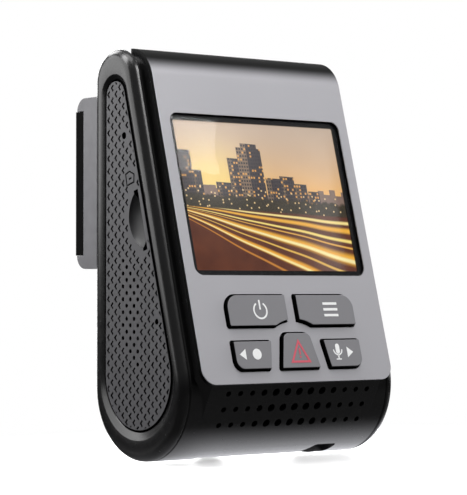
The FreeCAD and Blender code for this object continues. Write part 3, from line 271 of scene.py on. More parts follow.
# %% Moulded plastics
def moulded(name, level, rough, grain_mm, grain_depth, coat=0.0, cool=0.06, spread=0.25, shine=0.4):
    """A moulded plastic: a level of grey, a roughness, and a grain of a size and depth."""
    finish = Finish(name, Coat_Weight=coat, Coat_Roughness=0.12, IOR=1.46, Specular_IOR_Level=shine)
    cloud = finish.noise(0.35, 2.0)
    tone = finish.blend(cloud, grey(level * (1 - spread), cool), grey(level * (1 + spread), cool))
    finish.drive("Base Color", tone)
    grain = finish.noise(1.0 / grain_mm, 3.0)
    finish.drive("Roughness", grain * 0.12 + (rough - 0.06))
    finish.bump(grain, 0.5, grain_depth)
    return finish.material


GLOSS_BLACK = moulded("gloss black shell", 0.0035, 0.25, 1.2, 0.002, shine=0.42)
SATIN_BLACK = moulded("satin black moulding", 0.012, 0.42, 0.16, 0.006, shine=0.3)
GRIP_TOP = CAP_HALF - 0.35      # outer plane of the side inserts


PAINTED_SHADE_DEPTH = 0.035              # below this, a mark's wall is painted black as shade


def grip_plastic():
    """Grey on the insert's outer plane; the walls of every mark are painted black, a painted shade."""
    finish = Finish("grip grey moulding", IOR=1.46, Specular_IOR_Level=0.35)
    x, y, z = finish.axes()
    # painted shade: below the outer plane the colour turns black, standing in for shade on the walls of
    # the marks
    skin = abs(x).above(GRIP_TOP - PAINTED_SHADE_DEPTH, 0.015)
    cloud = finish.noise(0.3, 2.0)
    ground = finish.blend(cloud, grey(0.046, 0.06), grey(0.062, 0.06))
    finish.drive("Base Color", finish.blend(skin, grey(0.001), ground))
    grain = finish.noise(8.0, 3.0)
    finish.drive("Roughness", grain * 0.12 + 0.44)
    finish.bump(grain, 0.5, 0.008)
    return finish.material


GRIP_BLACK = grip_plastic()
BRACKET_BLACK = moulded("bracket grey moulding", 0.10, 0.45, 0.18, 0.005)
# Near-black plate material under the engraving: painted shade for the floors of the marks.
PAINTED_GROOVE_SHADE = moulded("groove painted shade", 0.0012, 0.8, 0.2, 0.004, shine=0.04)
COMPONENT_BLACK = moulded("component epoxy", 0.020, 0.55, 0.25, 0.010)
print("plastics:", len(bpy.data.materials))

# %% [markdown]
# ## Satin paint on the face panel and the keys
#
# The panel is sprayed with a silver-grey paint whose tiny flakes give it a soft sheen. The
# spray stops at the sheet's edges, so the walls of the openings stay black. Over the bend at
# the top the grey fades to black: a painted dark reflection. The mask for all of that is a
# distance: how deep a point lies below the painted surface, measured round the bend.


# %% Painted finishes
def painted(name, level, edge_out, painted_dark_bend=None, metal=0.12, rough=0.52):
    """Flake paint above a level out of the slope, black plastic below it, and if asked a painted dark
    reflection that fades the grey to black round the bend.
    """
    finish = Finish(name, IOR=1.5, Specular_IOR_Level=0.35)
    x, up, out = finish.slope_axes()
    past_bend = (up - BEND_UP).math("MAXIMUM", 0.0)
    radius = (past_bend * past_bend + (out + BEND_RAD) * (out + BEND_RAD)).math("SQRT")
    paint = (radius - BEND_RAD).above(edge_out, 0.03)
    # painted reflection: the grey fades to black round the top bend, standing in for a dark reflection
    if painted_dark_bend is not None:
        low, high = painted_dark_bend
        angle = past_bend.math("ARCTAN2", out + BEND_RAD) * (180 / math.pi)
        paint = paint * angle.below((low + high) / 2, (high - low) / 2)
    flakes = finish.noise(14.0, 1.0)
    cloud = finish.noise(0.06, 1.0)
    tone = finish.blend(flakes * 0.5 + cloud * 0.5,
                        grey(level * 0.90, 0.05), grey(level * 1.10, 0.05))
    finish.drive("Base Color", finish.blend(paint, grey(0.006), tone))
    finish.drive("Metallic", 1.0 - paint * (1.0 - metal))
    finish.drive("Roughness", flakes * 0.08 + rough - 0.04)
    finish.bump(flakes, 0.25, 0.004)
    return finish.material


# Painted dark reflection: the grey fades to black between two angles round the bend, in degrees.
FACE_PAINT = painted("face panel paint", 0.385, -0.22, painted_dark_bend=(-6, 34))
KEY_PAINT = painted("key top paint", 0.200, 0.755)

# %% [markdown]
# ## Metals, boards and the rest
#
# Screws and cans are steel with a directional brush, contacts are gold-plated, the boards
# wear green solder mask with copper shapes just showing through. These sit inside, but the
# model is a set of real pieces, so each gets its own finish.


# %% Metals and electronics
def metal(name, colour, rough, streak=0.35, across=(400, 6000, 400)):
    """A brushed metal: noise stretched one way sets its roughness and a fine bump."""
    finish = Finish(name, Metallic=1.0)
    stretch = finish.node("ShaderNodeMapping", {"vector_type": "POINT"},
                          {"Vector": finish.place, "Scale": across})
    brush = finish.node("ShaderNodeTexNoise", None,
                        {"Vector": stretch.outputs[0], "Scale": 1.0, "Detail": 3.0})
    line = Value(finish, brush.outputs["Fac"])
    dark = tuple(c * (1 - streak) for c in colour[:3])
    finish.drive("Base Color", finish.blend(line, dark, colour))
    finish.drive("Roughness", line * 0.2 + rough - 0.1)
    finish.bump(line, 0.3, 0.003)
    return finish.material


def solder_mask(name, colour):
    """A board: mask colour, copper shapes on a grid under it, and a satin surface."""
    finish = Finish(name, IOR=1.52, Coat_Weight=0.3)
    x, up, out = finish.slope_axes()
    lanes = x.wrapped(1.6).below(0.22, 0.03)
    rungs = up.wrapped(2.3).below(0.18, 0.03)
    patches = finish.noise(0.5, 0.0).above(0.52, 0.01)
    copper = (lanes * patches + rungs * (1.0 - patches)).math("MINIMUM", 1.0)
    light = tuple(min(1.0, c * 2.1) for c in colour[:3])
    finish.drive("Base Color", finish.blend(copper, colour, light))
    finish.drive("Roughness", 0.42 - copper * 0.12)
    finish.bump(copper, 0.5, 0.03)
    return finish.material


STEEL = metal("zinc-plated steel", (0.56, 0.56, 0.58), 0.34)
CAN_STEEL = metal("tinned can steel", (0.66, 0.66, 0.67), 0.30)
GOLD = metal("gold-plated contact", (0.83, 0.62, 0.24), 0.24, streak=0.15)
ALUMINIUM = metal("anodised aluminium", (0.62, 0.63, 0.65), 0.38)
TRIM_METAL = metal("dark lens trim", (0.09, 0.09, 0.10), 0.30)
BOARD_GREEN = solder_mask("green solder mask", (0.012, 0.085, 0.035))


def plain_stuff(name, first, second, per_mm, rough, depth, **constants):
    """Two tones mixed by noise, for foam, sleeves and ceramic."""
    finish = Finish(name, **constants)
    grain = finish.noise(per_mm, 4.0, 0.6)
    finish.drive("Base Color", finish.blend(grain, first, second))
    finish.drive("Roughness", grain * 0.15 + rough - 0.07)
    finish.bump(grain, 0.6, depth)
    return finish.material


PAD_FOAM = plain_stuff("adhesive foam", (0.001, 0.001, 0.001), (0.004, 0.004, 0.004),
                       3.0, 0.85, 0.05, Specular_IOR_Level=0.04)
CELL_SLEEVE = plain_stuff("cell sleeve", (0.010, 0.018, 0.075), (0.016, 0.028, 0.11),
                          0.8, 0.3, 0.01)
CERAMIC = plain_stuff("antenna ceramic", (0.55, 0.49, 0.38), (0.66, 0.60, 0.48),
                      2.0, 0.55, 0.01)
SPEAKER_CONE = plain_stuff("speaker diaphragm", (0.012, 0.012, 0.013), (0.03, 0.03, 0.032),
                           1.5, 0.5, 0.02)


def lens_coat(name, tint, depth_tint):
    """Coated glass that reads as a dark pool with a faint coloured bloom at its edge."""
    finish = Finish(name, IOR=1.6, Coat_Weight=1.0, Coat_Roughness=0.02)
    edge = finish.node("ShaderNodeLayerWeight", None, {"Blend": 0.35})
    bloom = Value(finish, edge.outputs["Facing"])
    finish.drive("Base Color", finish.blend(bloom, tint, depth_tint))
    smear = finish.noise(0.3, 2.0)
    finish.drive("Roughness", smear * 0.02 + 0.02)
    return finish.material


LENS_COAT = lens_coat("coated lens glass", (0.004, 0.005, 0.012), (0.03, 0.016, 0.07))
INNER_COAT = lens_coat("inner lens glass", (0.006, 0.012, 0.014), (0.02, 0.07, 0.06))
print("finishes so far:", len(bpy.data.materials))

# %% [markdown]
# ## A finish for every CAD part
#
# Parts whose CAD shape is already right keep it and only get a finish. The list says which
# finish goes on which part; the pieces rebuilt below hide the part that they stand for.

# %% Dress the CAD parts
DRESS = {
    GLOSS_BLACK: ["rear_housing", "front_housing", "left_side_cap", "right_side_cap"],
    SATIN_BLACK: ["drum_bay", "drum_front_shell", "drum_rear_shell",
                  "left_side_insert", "right_side_insert"],
    BRACKET_BLACK: ["bracket_base", "bracket_cover"],
    FACE_PAINT: ["face_panel"],
    KEY_PAINT: ["power_key", "menu_key", "record_key", "event_key", "voice_key"],
    COMPONENT_BLACK: ["processor", "key_switches", "reset_switch", "av_socket", "microphone",
                      "image_sensor", "lens_holder", "display_module"],
    SPEAKER_CONE: ["speaker"],
    STEEL: ["housing_screws", "board_screws", "key_board_screws", "drum_screws", "bracket_screws"],
    CAN_STEEL: ["card_socket", "usb_socket"],
    GOLD: ["contact_strip", "contact_pins"],
    ALUMINIUM: ["display_chassis", "heat_plate"],
    TRIM_METAL: ["lens_barrel", "lens_trim_ring"],
    BOARD_GREEN: ["main_board", "key_board", "sensor_board", "position_board"],
    PAD_FOAM: ["adhesive_pad"],
    CELL_SLEEVE: ["supercapacitors"],
    CERAMIC: ["position_antenna"],
    LENS_COAT: ["lens_front_glass", "screen_window"],
    INNER_COAT: ["lens_inner_glass", "infrared_filter"],
}
for material, names in DRESS.items():
    for name in names:
        slots = nodes[name].data.materials
        slots.clear()
        slots.append(material)
undressed = set(nodes) - {name for names in DRESS.values() for name in names}
print("CAD parts without a finish:", sorted(undressed))

# %% [markdown]
# ## Mesh helpers
#
# A finished piece has its place in its vertices and its object at the origin. `piece` makes
# one from a mesh, sets its shading so that curves are smooth and corners crisp, gives it a
# finish and lets it ride on a body. `softened` takes a CAD part, joins its loose triangles
# into faces, and rounds its sharp edges by a fraction of a millimetre, because no moulded
# edge is perfectly sharp and the thin highlight along it is what the eye looks for.


# %% Pieces from meshes
def piece(name, mesh, body, material, hides=(), corner=32):
    """Make an object of a mesh in model space and attach it to its body."""
    mesh.name = name
    if material is not None:
        mesh.materials.clear()
        mesh.materials.append(material)
    mesh.shade_smooth()
    mesh.set_sharp_from_angle(angle=math.radians(corner))
    obj = linked(name, mesh)
    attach(obj, body)
    if hides:
        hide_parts(*hides)
    return obj


def mesh_of(work, outwards=True):
    """A mesh from a bmesh, with its normals put right if asked."""
    if outwards:
        bmesh.ops.recalc_face_normals(work, faces=work.faces)
    mesh = bpy.data.meshes.new("work")
    work.to_mesh(mesh)
    work.free()
    return mesh


def opened(mesh, weld=None):
    """A bmesh of a mesh, with points closer than a weld distance, in metres, made one."""
    work = bmesh.new()
    work.from_mesh(mesh)
    if weld is not None:
        bmesh.ops.remove_doubles(work, verts=work.verts, dist=weld)
    return work


def placed(mesh, place, weld=None):
    """Send every point of a mesh where a function of its coordinates says, and close it up."""
    for vertex in mesh.vertices:
        vertex.co = place(*vertex.co)
    return mesh_of(opened(mesh, weld))


def as_plain_mesh(carrier):
    """The mesh of an object as its modifiers leave it; the object itself goes."""
    bpy.context.view_layer.update()
    seen = carrier.evaluated_get(bpy.context.evaluated_depsgraph_get())
    mesh = bpy.data.meshes.new_from_object(seen)
    carrier.modifiers.clear()
    bpy.data.objects.remove(carrier)
    return mesh


def flat_faced(mesh):
    """Give a mesh normals weighted by face area, so that big faces stay flat beside roundings."""
    mesh.shade_smooth()
    carrier = linked("carrier", mesh)
    weighted = carrier.modifiers.new("weighted", "WEIGHTED_NORMAL")
    weighted.weight = 100
    weighted.keep_sharp = True
    return as_plain_mesh(carrier)


FINE_WELD = 1e-7        # metres
SHARP = math.radians(35)
SAME_PLANE = math.radians(0.6)


def softened(node, name, width, material, body, steps=2):
    """A copy of a CAD part with its sharp edges rounded by a width in mm."""
    work = opened(nodes[node].data, 2e-6)
    bmesh.ops.dissolve_limit(work, angle_limit=SAME_PLANE, verts=work.verts, edges=work.edges)
    edges = [e for e in work.edges if len(e.link_faces) == 2 and e.calc_face_angle(0) > SHARP]
    bmesh.ops.bevel(work, geom=edges, offset=width * MM, offset_type="OFFSET", segments=steps,
                    profile=0.5, affect="EDGES", clamp_overlap=True)
    print(name, "rounds", len(edges), "edges,", len(work.faces), "faces")
    return piece(name, flat_faced(mesh_of(work, False)), body, material, [node], corner=40)


def loft(loops, closed=False):
    """Skin a list of equal closed loops of points; closed joins the last to the first."""
    work = bmesh.new()
    rings = [[work.verts.new(point) for point in loop] for loop in loops]
    pairs = list(zip(rings, rings[1:] + rings[:1])) if closed else list(zip(rings, rings[1:]))
    for one, other in pairs:
        for i in range(len(one)):
            k = (i + 1) % len(one)
            work.faces.new((one[i], one[k], other[k], other[i]))
    if not closed:
        work.faces.new(rings[0])
        work.faces.new(rings[-1])
    return work


# %% [markdown]
# ## The face panel, the shells and the bracket
#
# These keep their CAD shape and get rounded edges. The panel's openings and outline are
# where the paint ends, so a small rounding there catches a bright line round each key.

# %% Softened shells
softened("face_panel", "face_panel_sheet", 0.12, FACE_PAINT, "camera")
softened("bracket_cover", "bracket_cap", 0.15, BRACKET_BLACK, "bracket")
softened("bracket_base", "bracket_plate", 0.12, BRACKET_BLACK, "bracket")
KEY_BODIES = {"power_key": "power", "menu_key": "menu", "record_key": "record",
              "event_key": "event", "voice_key": "voice"}
for key, word in KEY_BODIES.items():
    softened(key, word + "_key_cap", 0.28, KEY_PAINT, key + "_body", steps=3)

# %% [markdown]
# ## The side rings
#
# Each side of the camera ends in a ring like a tyre: a teardrop of glossy plastic that
# rises from the seam, rolls over and drops into the well where the grip insert lies. The
# outline is two circles joined by straight tangents. Sampled with the same number of points
# on each part, the outer outline and the well's outline match point for point, so the ring
# is one loft through a list of cross-section stations.

# %% Teardrop outlines
RING_LIFT = 0.62        # the ring's crown stands up to the panel's bend
OUTER = ((-BASE_RAD, BASE_RAD), BASE_RAD, (-CROWN_RAD, WEDGE_TALL + RING_LIFT - CROWN_RAD), CROWN_RAD)
WELL = ((-14.0, 16.2), 11.6, (-6.85, 69.1), 4.3)
RIM = ((-14.0, 15.75), 11.75, (-6.85, 69.1), 4.3)


def teardrop(shape, inset, steps=(56, 26, 34)):
    """Points (depth, rise) round a teardrop drawn in by an inset."""
    (y1, z1), low_rad, (y2, z2), high_rad = shape
    low_rad -= inset
    high_rad -= inset
    heading = math.atan2(z2 - z1, y2 - y1)
    lean = math.acos((low_rad - high_rad) / math.hypot(y2 - y1, z2 - z1))
    around, along, over = steps

    def arc(y, z, radius, start, sweep, count):
        return [(y + radius * math.cos(start + sweep * i / count),
                 z + radius * math.sin(start + sweep * i / count)) for i in range(count + 1)]

    def straight(first, last):
        return [(first[0] + (last[0] - first[0]) * i / along,
                 first[1] + (last[1] - first[1]) * i / along) for i in range(1, along)]

    high = arc(y2, z2, high_rad, heading - lean, 2 * lean, over)
    low = arc(y1, z1, low_rad, heading + lean, 2 * math.pi - 2 * lean, around)
    return high + straight(high[-1], low[0]) + low + straight(low[-1], high[0])


SEAM_BEVEL = 0.25
RIM_ROUND = 1.9
ROUND_STEPS = 9
# Each station: which outline, how far it is drawn in, and how far out from the middle.
stations = [("well", 1.30, CORE_HALF), ("outer", SEAM_BEVEL, CORE_HALF),
            ("outer", 0.0, CORE_HALF + SEAM_BEVEL)]
for i in range(ROUND_STEPS + 1):
    turn = math.pi / 2 * i / ROUND_STEPS
    stations.append(("outer", RIM_ROUND * (1 - math.cos(turn)),
                     CAP_HALF - RIM_ROUND + RIM_ROUND * math.sin(turn)))
stations += [(shape, inset, CAP_HALF - below) for shape, inset, below in (
    ("rim", 0.0, 0.01), ("rim", 0.12, 0.04), ("rim", 0.24, 0.10), ("well", 0.86, 0.42),
    ("well", 0.96, 0.50), ("well", 1.03, 0.64), ("well", 1.08, 1.2), ("well", 1.12, 1.5),
    ("well", 1.30, 1.6))]
SHAPES = {"outer": OUTER, "well": WELL, "rim": RIM}
for side, sign in (("left", -1), ("right", 1)):
    loops = [[upright(sign * x, depth, rise) for depth, rise in teardrop(SHAPES[shape], inset)]
             for shape, inset, x in stations]
    ring_mesh = mesh_of(loft(loops, closed=True))
    piece(side + "_side_ring", ring_mesh, "camera", GLOSS_BLACK,
          [side + "_side_cap"], corner=50)
print("ring stations:", len(stations))

# %% [markdown]
# ## The grip inserts
#
# The insert is a flat teardrop plate covered in engraved chevrons, with round holes in
# front of the speaker. On the real part the pattern is cut in the mould. Here the plate's
# skin is a sheet with openings: Geometry Nodes put a chevron or a circle at each spot of a
# lattice, fill the area between them and the outline, and draw the sheet out to its
# thickness. A plain plate below closes the chevrons and leaves the real holes open. The plate
# is near-black, a painted shade for the floors of the marks, and the walls of the marks are
# painted black as shade too.

# %% The perforated sheet as a node tree
def socket_id(tree, name):
    """The identifier of a tree's named input."""
    return next(item.identifier for item in tree.interface.items_tree
                if item.item_type == "SOCKET" and item.in_out == "INPUT" and item.name == name)


def node_tree(name, inputs):
    """An empty modifier tree with a geometry in and out and some named inputs."""
    tree = bpy.data.node_groups.new(name, "GeometryNodeTree")
    tree.interface.new_socket("Geometry", in_out="INPUT", socket_type="NodeSocketGeometry")
    for label, kind in inputs:
        tree.interface.new_socket(label, in_out="INPUT", socket_type=kind)
    tree.interface.new_socket("Geometry", in_out="OUTPUT", socket_type="NodeSocketGeometry")
    return tree, tree.nodes.new("NodeGroupInput"), tree.nodes.new("NodeGroupOutput")


def end_tree(tree, shape, given, result):
    """Turn a tree's instances into real faces, give them its finish and send them out."""
    real = wire(tree, "GeometryNodeRealizeInstances", None, {0: shape.outputs[0]})
    dressed = wire(tree, "GeometryNodeSetMaterial", None,
                   {0: real.outputs[0], "Material": given.outputs["Finish"]})
    tree.links.new(dressed.outputs[0], result.inputs[0])


def perforated_sheet_tree():
    tree, given, result = node_tree("perforated_sheet", [
        ("Outline", "NodeSocketObject"), ("Chevron", "NodeSocketObject"),
        ("Hole Radius", "NodeSocketFloat"), ("Hole Sides", "NodeSocketInt"),
        ("Thickness", "NodeSocketFloat"), ("Finish", "NodeSocketMaterial")])
    is_round = wire(tree, "GeometryNodeInputNamedAttribute", {"data_type": "BOOLEAN"},
                    {"Name": "round_hole"})
    circle = wire(tree, "GeometryNodeCurvePrimitiveCircle", None,
                  {"Resolution": given.outputs["Hole Sides"], "Radius": given.outputs["Hole Radius"]})
    chevron = wire(tree, "GeometryNodeObjectInfo", {"transform_space": "ORIGINAL"},
                   {"Object": given.outputs["Chevron"]})
    outline = wire(tree, "GeometryNodeObjectInfo", {"transform_space": "ORIGINAL"},
                   {"Object": given.outputs["Outline"]})
    not_round = wire(tree, "FunctionNodeBooleanMath", {"operation": "NOT"},
                     {0: is_round.outputs["Attribute"]})
    rounds = wire(tree, "GeometryNodeInstanceOnPoints", None, {
        "Points": given.outputs["Geometry"], "Selection": is_round.outputs["Attribute"],
        "Instance": circle.outputs["Curve"]})
    angled = wire(tree, "GeometryNodeInstanceOnPoints", None, {
        "Points": given.outputs["Geometry"], "Selection": not_round.outputs[0],
        "Instance": chevron.outputs["Geometry"]})
    curves = wire(tree, "GeometryNodeJoinGeometry")
    for source in (rounds.outputs[0], angled.outputs[0], outline.outputs["Geometry"]):
        tree.links.new(source, curves.inputs[0])
    real = wire(tree, "GeometryNodeRealizeInstances", None, {0: curves.outputs[0]})
    filled = wire(tree, "GeometryNodeFillCurve", None, {0: real.outputs[0]})
    raised = wire(tree, "GeometryNodeExtrudeMesh", {"mode": "FACES"}, {
        "Mesh": filled.outputs[0], "Offset Scale": given.outputs["Thickness"], "Individual": False})
    turned = wire(tree, "GeometryNodeFlipFaces", None, {0: filled.outputs[0]})
    solid = wire(tree, "GeometryNodeJoinGeometry")
    for source in (raised.outputs["Mesh"], turned.outputs[0]):
        tree.links.new(source, solid.inputs[0])
    welded = wire(tree, "GeometryNodeMergeByDistance", None,
                  {"Geometry": solid.outputs[0], "Distance": 0.001})
    end_tree(tree, welded, given, result)
    return tree


SHEET_TREE = perforated_sheet_tree()


def loops_object(name, loops, flat=False):
    """A curve object of closed straight-sided loops; a flat one can be filled."""
    data = bpy.data.curves.new(name, "CURVE")
    data.dimensions = "2D" if flat else "3D"
    for loop in loops:
        spline = data.splines.new("POLY")
        spline.points.add(len(loop) - 1)
        for point, (a, b) in zip(spline.points, loop):
            point.co = (a, b, 0.0, 1.0)
        spline.use_cyclic_u = True
    return linked(name, data)


def evaluated(carrier, tree, values):
    """Run a node tree on a carrier object with these inputs and return the plain mesh."""
    modifier = carrier.modifiers.new("tree", "NODES")
    modifier.node_group = tree
    for label, given in values.items():
        modifier[socket_id(tree, label)] = given
    carrier.update_tag()
    return as_plain_mesh(carrier)


def spots_object(name, spots, flags=None):
    """A mesh of loose points, with a flag on each for a round hole."""
    mesh = bpy.data.meshes.new(name)
    mesh.from_pydata([(a, b, 0.0) for a, b in spots], [], [])
    marks = mesh.attributes.new("round_hole", "BOOLEAN", "POINT")
    marks.data.foreach_set("value", flags or [False] * len(spots))
    return linked(name, mesh)


print("sheet tree:", len(SHEET_TREE.nodes), "nodes")

# %% [markdown]
# ### Where the chevrons go
#
# Columns stand 1.176 mm apart and every other column is half a pitch lower. Five columns
# of seven spots are round: they open onto the speaker. A spot is left out where the card
# slot, the reset hole or a symbol takes its place. Marks that the outline would cut are
# clipped to it, as they are on the moulded part, and go in with the outline itself.

# %% The lattice
COLUMN_STEP = 1.176
ROW_PITCH = 2.44
FIRST_COLUMN = -4.62
FIRST_ROW = 32.95
GRIP_INSET = 1.4        # groove between the well's edge and the insert
SKIN = 0.22             # depth of the engraving
CHEVRON = [(0.53, 0.0), (-0.14, 0.72), (-0.45, 0.47), (-0.03, 0.0), (-0.45, -0.47), (-0.14, -0.72)]
EDGE_ROOM = 0.16        # a mark nearer than this to the outline is cut
SMALLEST_MARK = 0.06    # square mm; a smaller remainder is left out
SPEAKER_COLUMNS = {4: 2, 5: 1, 6: 1, 7: 0, 8: 0}    # column: highest round row
SPEAKER_ROWS = 7


def well_depth(depth, rise):
    """How far inside the insert's outline a point is, in mm; negative outside."""
    (y1, z1), low_rad, (y2, z2), high_rad = WELL
    span = math.hypot(y2 - y1, z2 - z1)
    uy, uz = (y2 - y1) / span, (z2 - z1) / span
    along = (depth - y1) * uy + (rise - z1) * uz
    aside = abs(-(depth - y1) * uz + (rise - z1) * uy)
    lean = (low_rad - high_rad) / span
    flat = math.sqrt(1 - lean * lean)
    foot = along - aside * lean / flat
    if 0.0 < foot < span:
        return low_rad - along * lean - aside * flat - GRIP_INSET
    if foot <= 0.0:
        return low_rad - math.hypot(along, aside) - GRIP_INSET
    return high_rad - math.hypot(along - span, aside) - GRIP_INSET


def face_to_side(up, out):
    """Depth and rise of a point given up the slope and out of the panel, in mm."""
    return along_slope((FOOT.y * 1000 + PAD_TO_BODY, FOOT_RISE), up, out)


SLOT_UP, SLOT_OUT, SLOT_HALF, SLOT_THIN = 33.6, -7.3, 5.9, 0.65
RESET = (-9.6, 61.5, 0.7)               # depth, rise and radius
MICROPHONE = (-19.95, 26.4, 0.55)
slot_mid = face_to_side(SLOT_UP, SLOT_OUT)
NOTCH_RAD = 6.3         # finger notch beside the slot
NOTCH_BACK = 2.7        # its centre, on the screen side of the slot
notch_mid = along_slope(slot_mid, 0.0, NOTCH_BACK)
CARD_ICON = [(-9.95, 54.2), (-11.35, 54.8), (-12.95, 54.2), (-12.95, 52.5), (-10.45, 51.8)]
icon_mid = (-11.6, 53.4)


def clipped(polygon, inset):
    """A small polygon cut to the insert's outline, drawn in by an inset, or None if lost."""
    inside = [well_depth(*p) > inset for p in polygon]
    if not any(inside):
        return None
    result = []
    for i, point in enumerate(polygon):
        after = polygon[(i + 1) % len(polygon)]
        if inside[i]:
            result.append(point)
        if inside[i] != inside[(i + 1) % len(polygon)]:
            low, high = (point, after) if inside[i] else (after, point)
            for _ in range(14):
                mid = ((low[0] + high[0]) / 2, (low[1] + high[1]) / 2)
                low, high = (mid, high) if well_depth(*mid) > inset else (low, mid)
            result.append(low)
    area = sum(a[0] * b[1] - b[0] * a[1] for a, b in zip(result, result[1:] + result[:1])) / 2
    return result if len(result) > 2 and abs(area) > SMALLEST_MARK else None


def lattice(keep_clear):
    """Spots of the pattern, whether each is round, and the marks cut by the outline."""
    spots, flags, cut = [], [], []
    for column in range(-1, 19):
        for row in range(-14, 20):
            depth = FIRST_COLUMN - column * COLUMN_STEP
            rise = FIRST_ROW + row * ROW_PITCH + (ROW_PITCH / 2 if column % 2 else 0.0)
            room = well_depth(depth, rise)
            if room < -0.6 or keep_clear(depth, rise):
                continue
            top = SPEAKER_COLUMNS.get(column)
            if top is not None and top - SPEAKER_ROWS < row <= top:
                spots.append((depth, rise))
                flags.append(True)
                continue
            mark = [(depth + a, rise + b) for a, b in CHEVRON]
            if min(well_depth(*p) for p in mark) > EDGE_ROOM:
                spots.append((depth, rise))
                flags.append(False)
            else:
                rest = clipped(mark, EDGE_ROOM)
                if rest:
                    cut.append(rest)
    return spots, flags, cut


def near_left_features(depth, rise):
    up, out = slope_offset(slot_mid, depth, rise)
    spot = (depth, rise)
    return (math.dist(spot, RESET[:2]) < 1.5 or math.dist(spot, MICROPHONE[:2]) < 1.25
            or math.dist(spot, icon_mid) < 2.3
            or (abs(up) < SLOT_HALF + 0.7 and abs(out) < 1.4)
            or (math.dist(spot, notch_mid) < NOTCH_RAD + 0.75 and out < 0.5))


PORT_LOW, PORT_HIGH = 38.9, 46.7
PORT_OUT_LOW, PORT_OUT_HIGH = -13.6, -9.6
port_mid = face_to_side((PORT_LOW + PORT_HIGH) / 2, (PORT_OUT_LOW + PORT_OUT_HIGH) / 2)
jack_mid = face_to_side(31.2, -12.0)


def near_right_features(depth, rise):
    up, out = slope_offset(port_mid, depth, rise)
    return (abs(up) < 4.9 and abs(out) < 3.0) or math.dist((depth, rise), jack_mid) < 3.2


left_spots, left_flags, left_cut = lattice(near_left_features)
right_spots, right_flags, right_cut = lattice(near_right_features)
right_flags = [False] * len(right_flags)
print("left marks:", len(left_spots), "and", len(left_cut), "cut; right marks:", len(right_spots))

# %% [markdown]
# ### Skins and plates
#
# The finger notch beside the card slot is a D: an arc that meets the slot. The symbol of a
# memory card above it is a thin engraved line, made by two loops one inside the other: the
# fill leaves out what lies between them.

# %% Build both inserts
def ring_points(centre, radius, count=28):
    return [(centre[0] + radius * math.cos(2 * math.pi * i / count),
             centre[1] + radius * math.sin(2 * math.pi * i / count)) for i in range(count)]


def slope_box(middle, half_up, half_out, round_by=0.0, steps=4):
    """A rectangle along the slope, with rounded corners, as (depth, rise) points."""
    points = []
    for su, so, start in ((1, 1, 0), (-1, 1, 90), (-1, -1, 180), (1, -1, 270)):
        for i in range(steps + 1 if round_by else 1):
            turn = math.radians(start + 90 * i / steps)
            up = su * (half_up - round_by) + round_by * math.cos(turn)
            out = so * (half_out - round_by) + round_by * math.sin(turn)
            points.append(along_slope(middle, up, out))
    return points


def notch_loop(steps=18):
    """The D of the finger notch with the card slot along its straight side."""
    box = slope_box(slot_mid, SLOT_HALF, SLOT_THIN)
    arc = []
    reach = math.acos(NOTCH_BACK / NOTCH_RAD)
    for i in range(steps + 1):
        turn = -reach + 2 * reach * i / steps
        inwards, up = NOTCH_RAD * math.cos(turn) - NOTCH_BACK, NOTCH_RAD * math.sin(turn)
        if inwards >= SLOT_THIN:
            arc.append(along_slope(slot_mid, up, -inwards))
    top_out, bottom_out, bottom_in, top_in = box
    return [top_out, bottom_out, bottom_in] + arc + [top_in]


def shrunk(polygon, by):
    """A small convex polygon drawn towards its middle."""
    cy = sum(p[0] for p in polygon) / len(polygon)
    cz = sum(p[1] for p in polygon) / len(polygon)
    far = max(math.hypot(p[0] - cy, p[1] - cz) for p in polygon)
    return [(cy + (p[0] - cy) * (1 - by / far), cz + (p[1] - cz) * (1 - by / far)) for p in polygon]


ICON_MARK = slope_box((icon_mid[0], icon_mid[1] - 0.1), 0.17, 0.42)
ICON_LINE = 0.46        # how far the icon's inner loop is drawn in
LEFT_OPEN = [ring_points(RESET[:2], RESET[2]),
             ring_points(MICROPHONE[:2], MICROPHONE[2], 16), notch_loop()]
RIGHT_OPEN = [slope_box(port_mid, 3.9, 2.0, 0.8), ring_points(jack_mid, 2.3)]
chevron_shape = loops_object("chevron_outline", [CHEVRON])
SOUND_HOLE_RAD = 0.42


def to_side(mesh, sign, x_face, thick):
    """Stand a flat mesh up in a side plane: its own (x, y, z) become depth, rise and outwards."""
    if sign > 0:
        mesh.flip_normals()
    return placed(mesh, lambda depth, rise, out: upright(sign * (x_face - thick + out), depth, rise),
                  FINE_WELD)


def perforated(name, sign, spots, flags, loops, x_face, thick, material, hides=()):
    outline = loops_object(name + "_outline", loops)
    mesh = evaluated(spots_object(name + "_spots", spots, flags), SHEET_TREE, {
        "Outline": outline, "Chevron": chevron_shape, "Hole Radius": SOUND_HOLE_RAD,
        "Hole Sides": 12, "Thickness": thick, "Finish": material})
    bpy.data.objects.remove(outline)
    made = piece(name, to_side(mesh, sign, x_face, thick), "camera", material, hides,
                 corner=30)
    print(name, len(made.data.vertices), "points,", len(made.data.polygons), "faces")


left_outline = teardrop(WELL, GRIP_INSET)
left_marks = ([left_outline] + LEFT_OPEN + left_cut
              + [CARD_ICON, shrunk(CARD_ICON, ICON_LINE), ICON_MARK])
perforated("left_grip_skin", -1, left_spots, left_flags, left_marks, GRIP_TOP, SKIN, GRIP_BLACK,
           ["left_side_insert"])
perforated("right_grip_skin", 1, right_spots, right_flags, [left_outline] + RIGHT_OPEN + right_cut,
           GRIP_TOP, SKIN, GRIP_BLACK, ["right_side_insert"])
sound_holes = [s for s, f in zip(left_spots, left_flags) if f]
PLATE_TOP = GRIP_TOP - SKIN
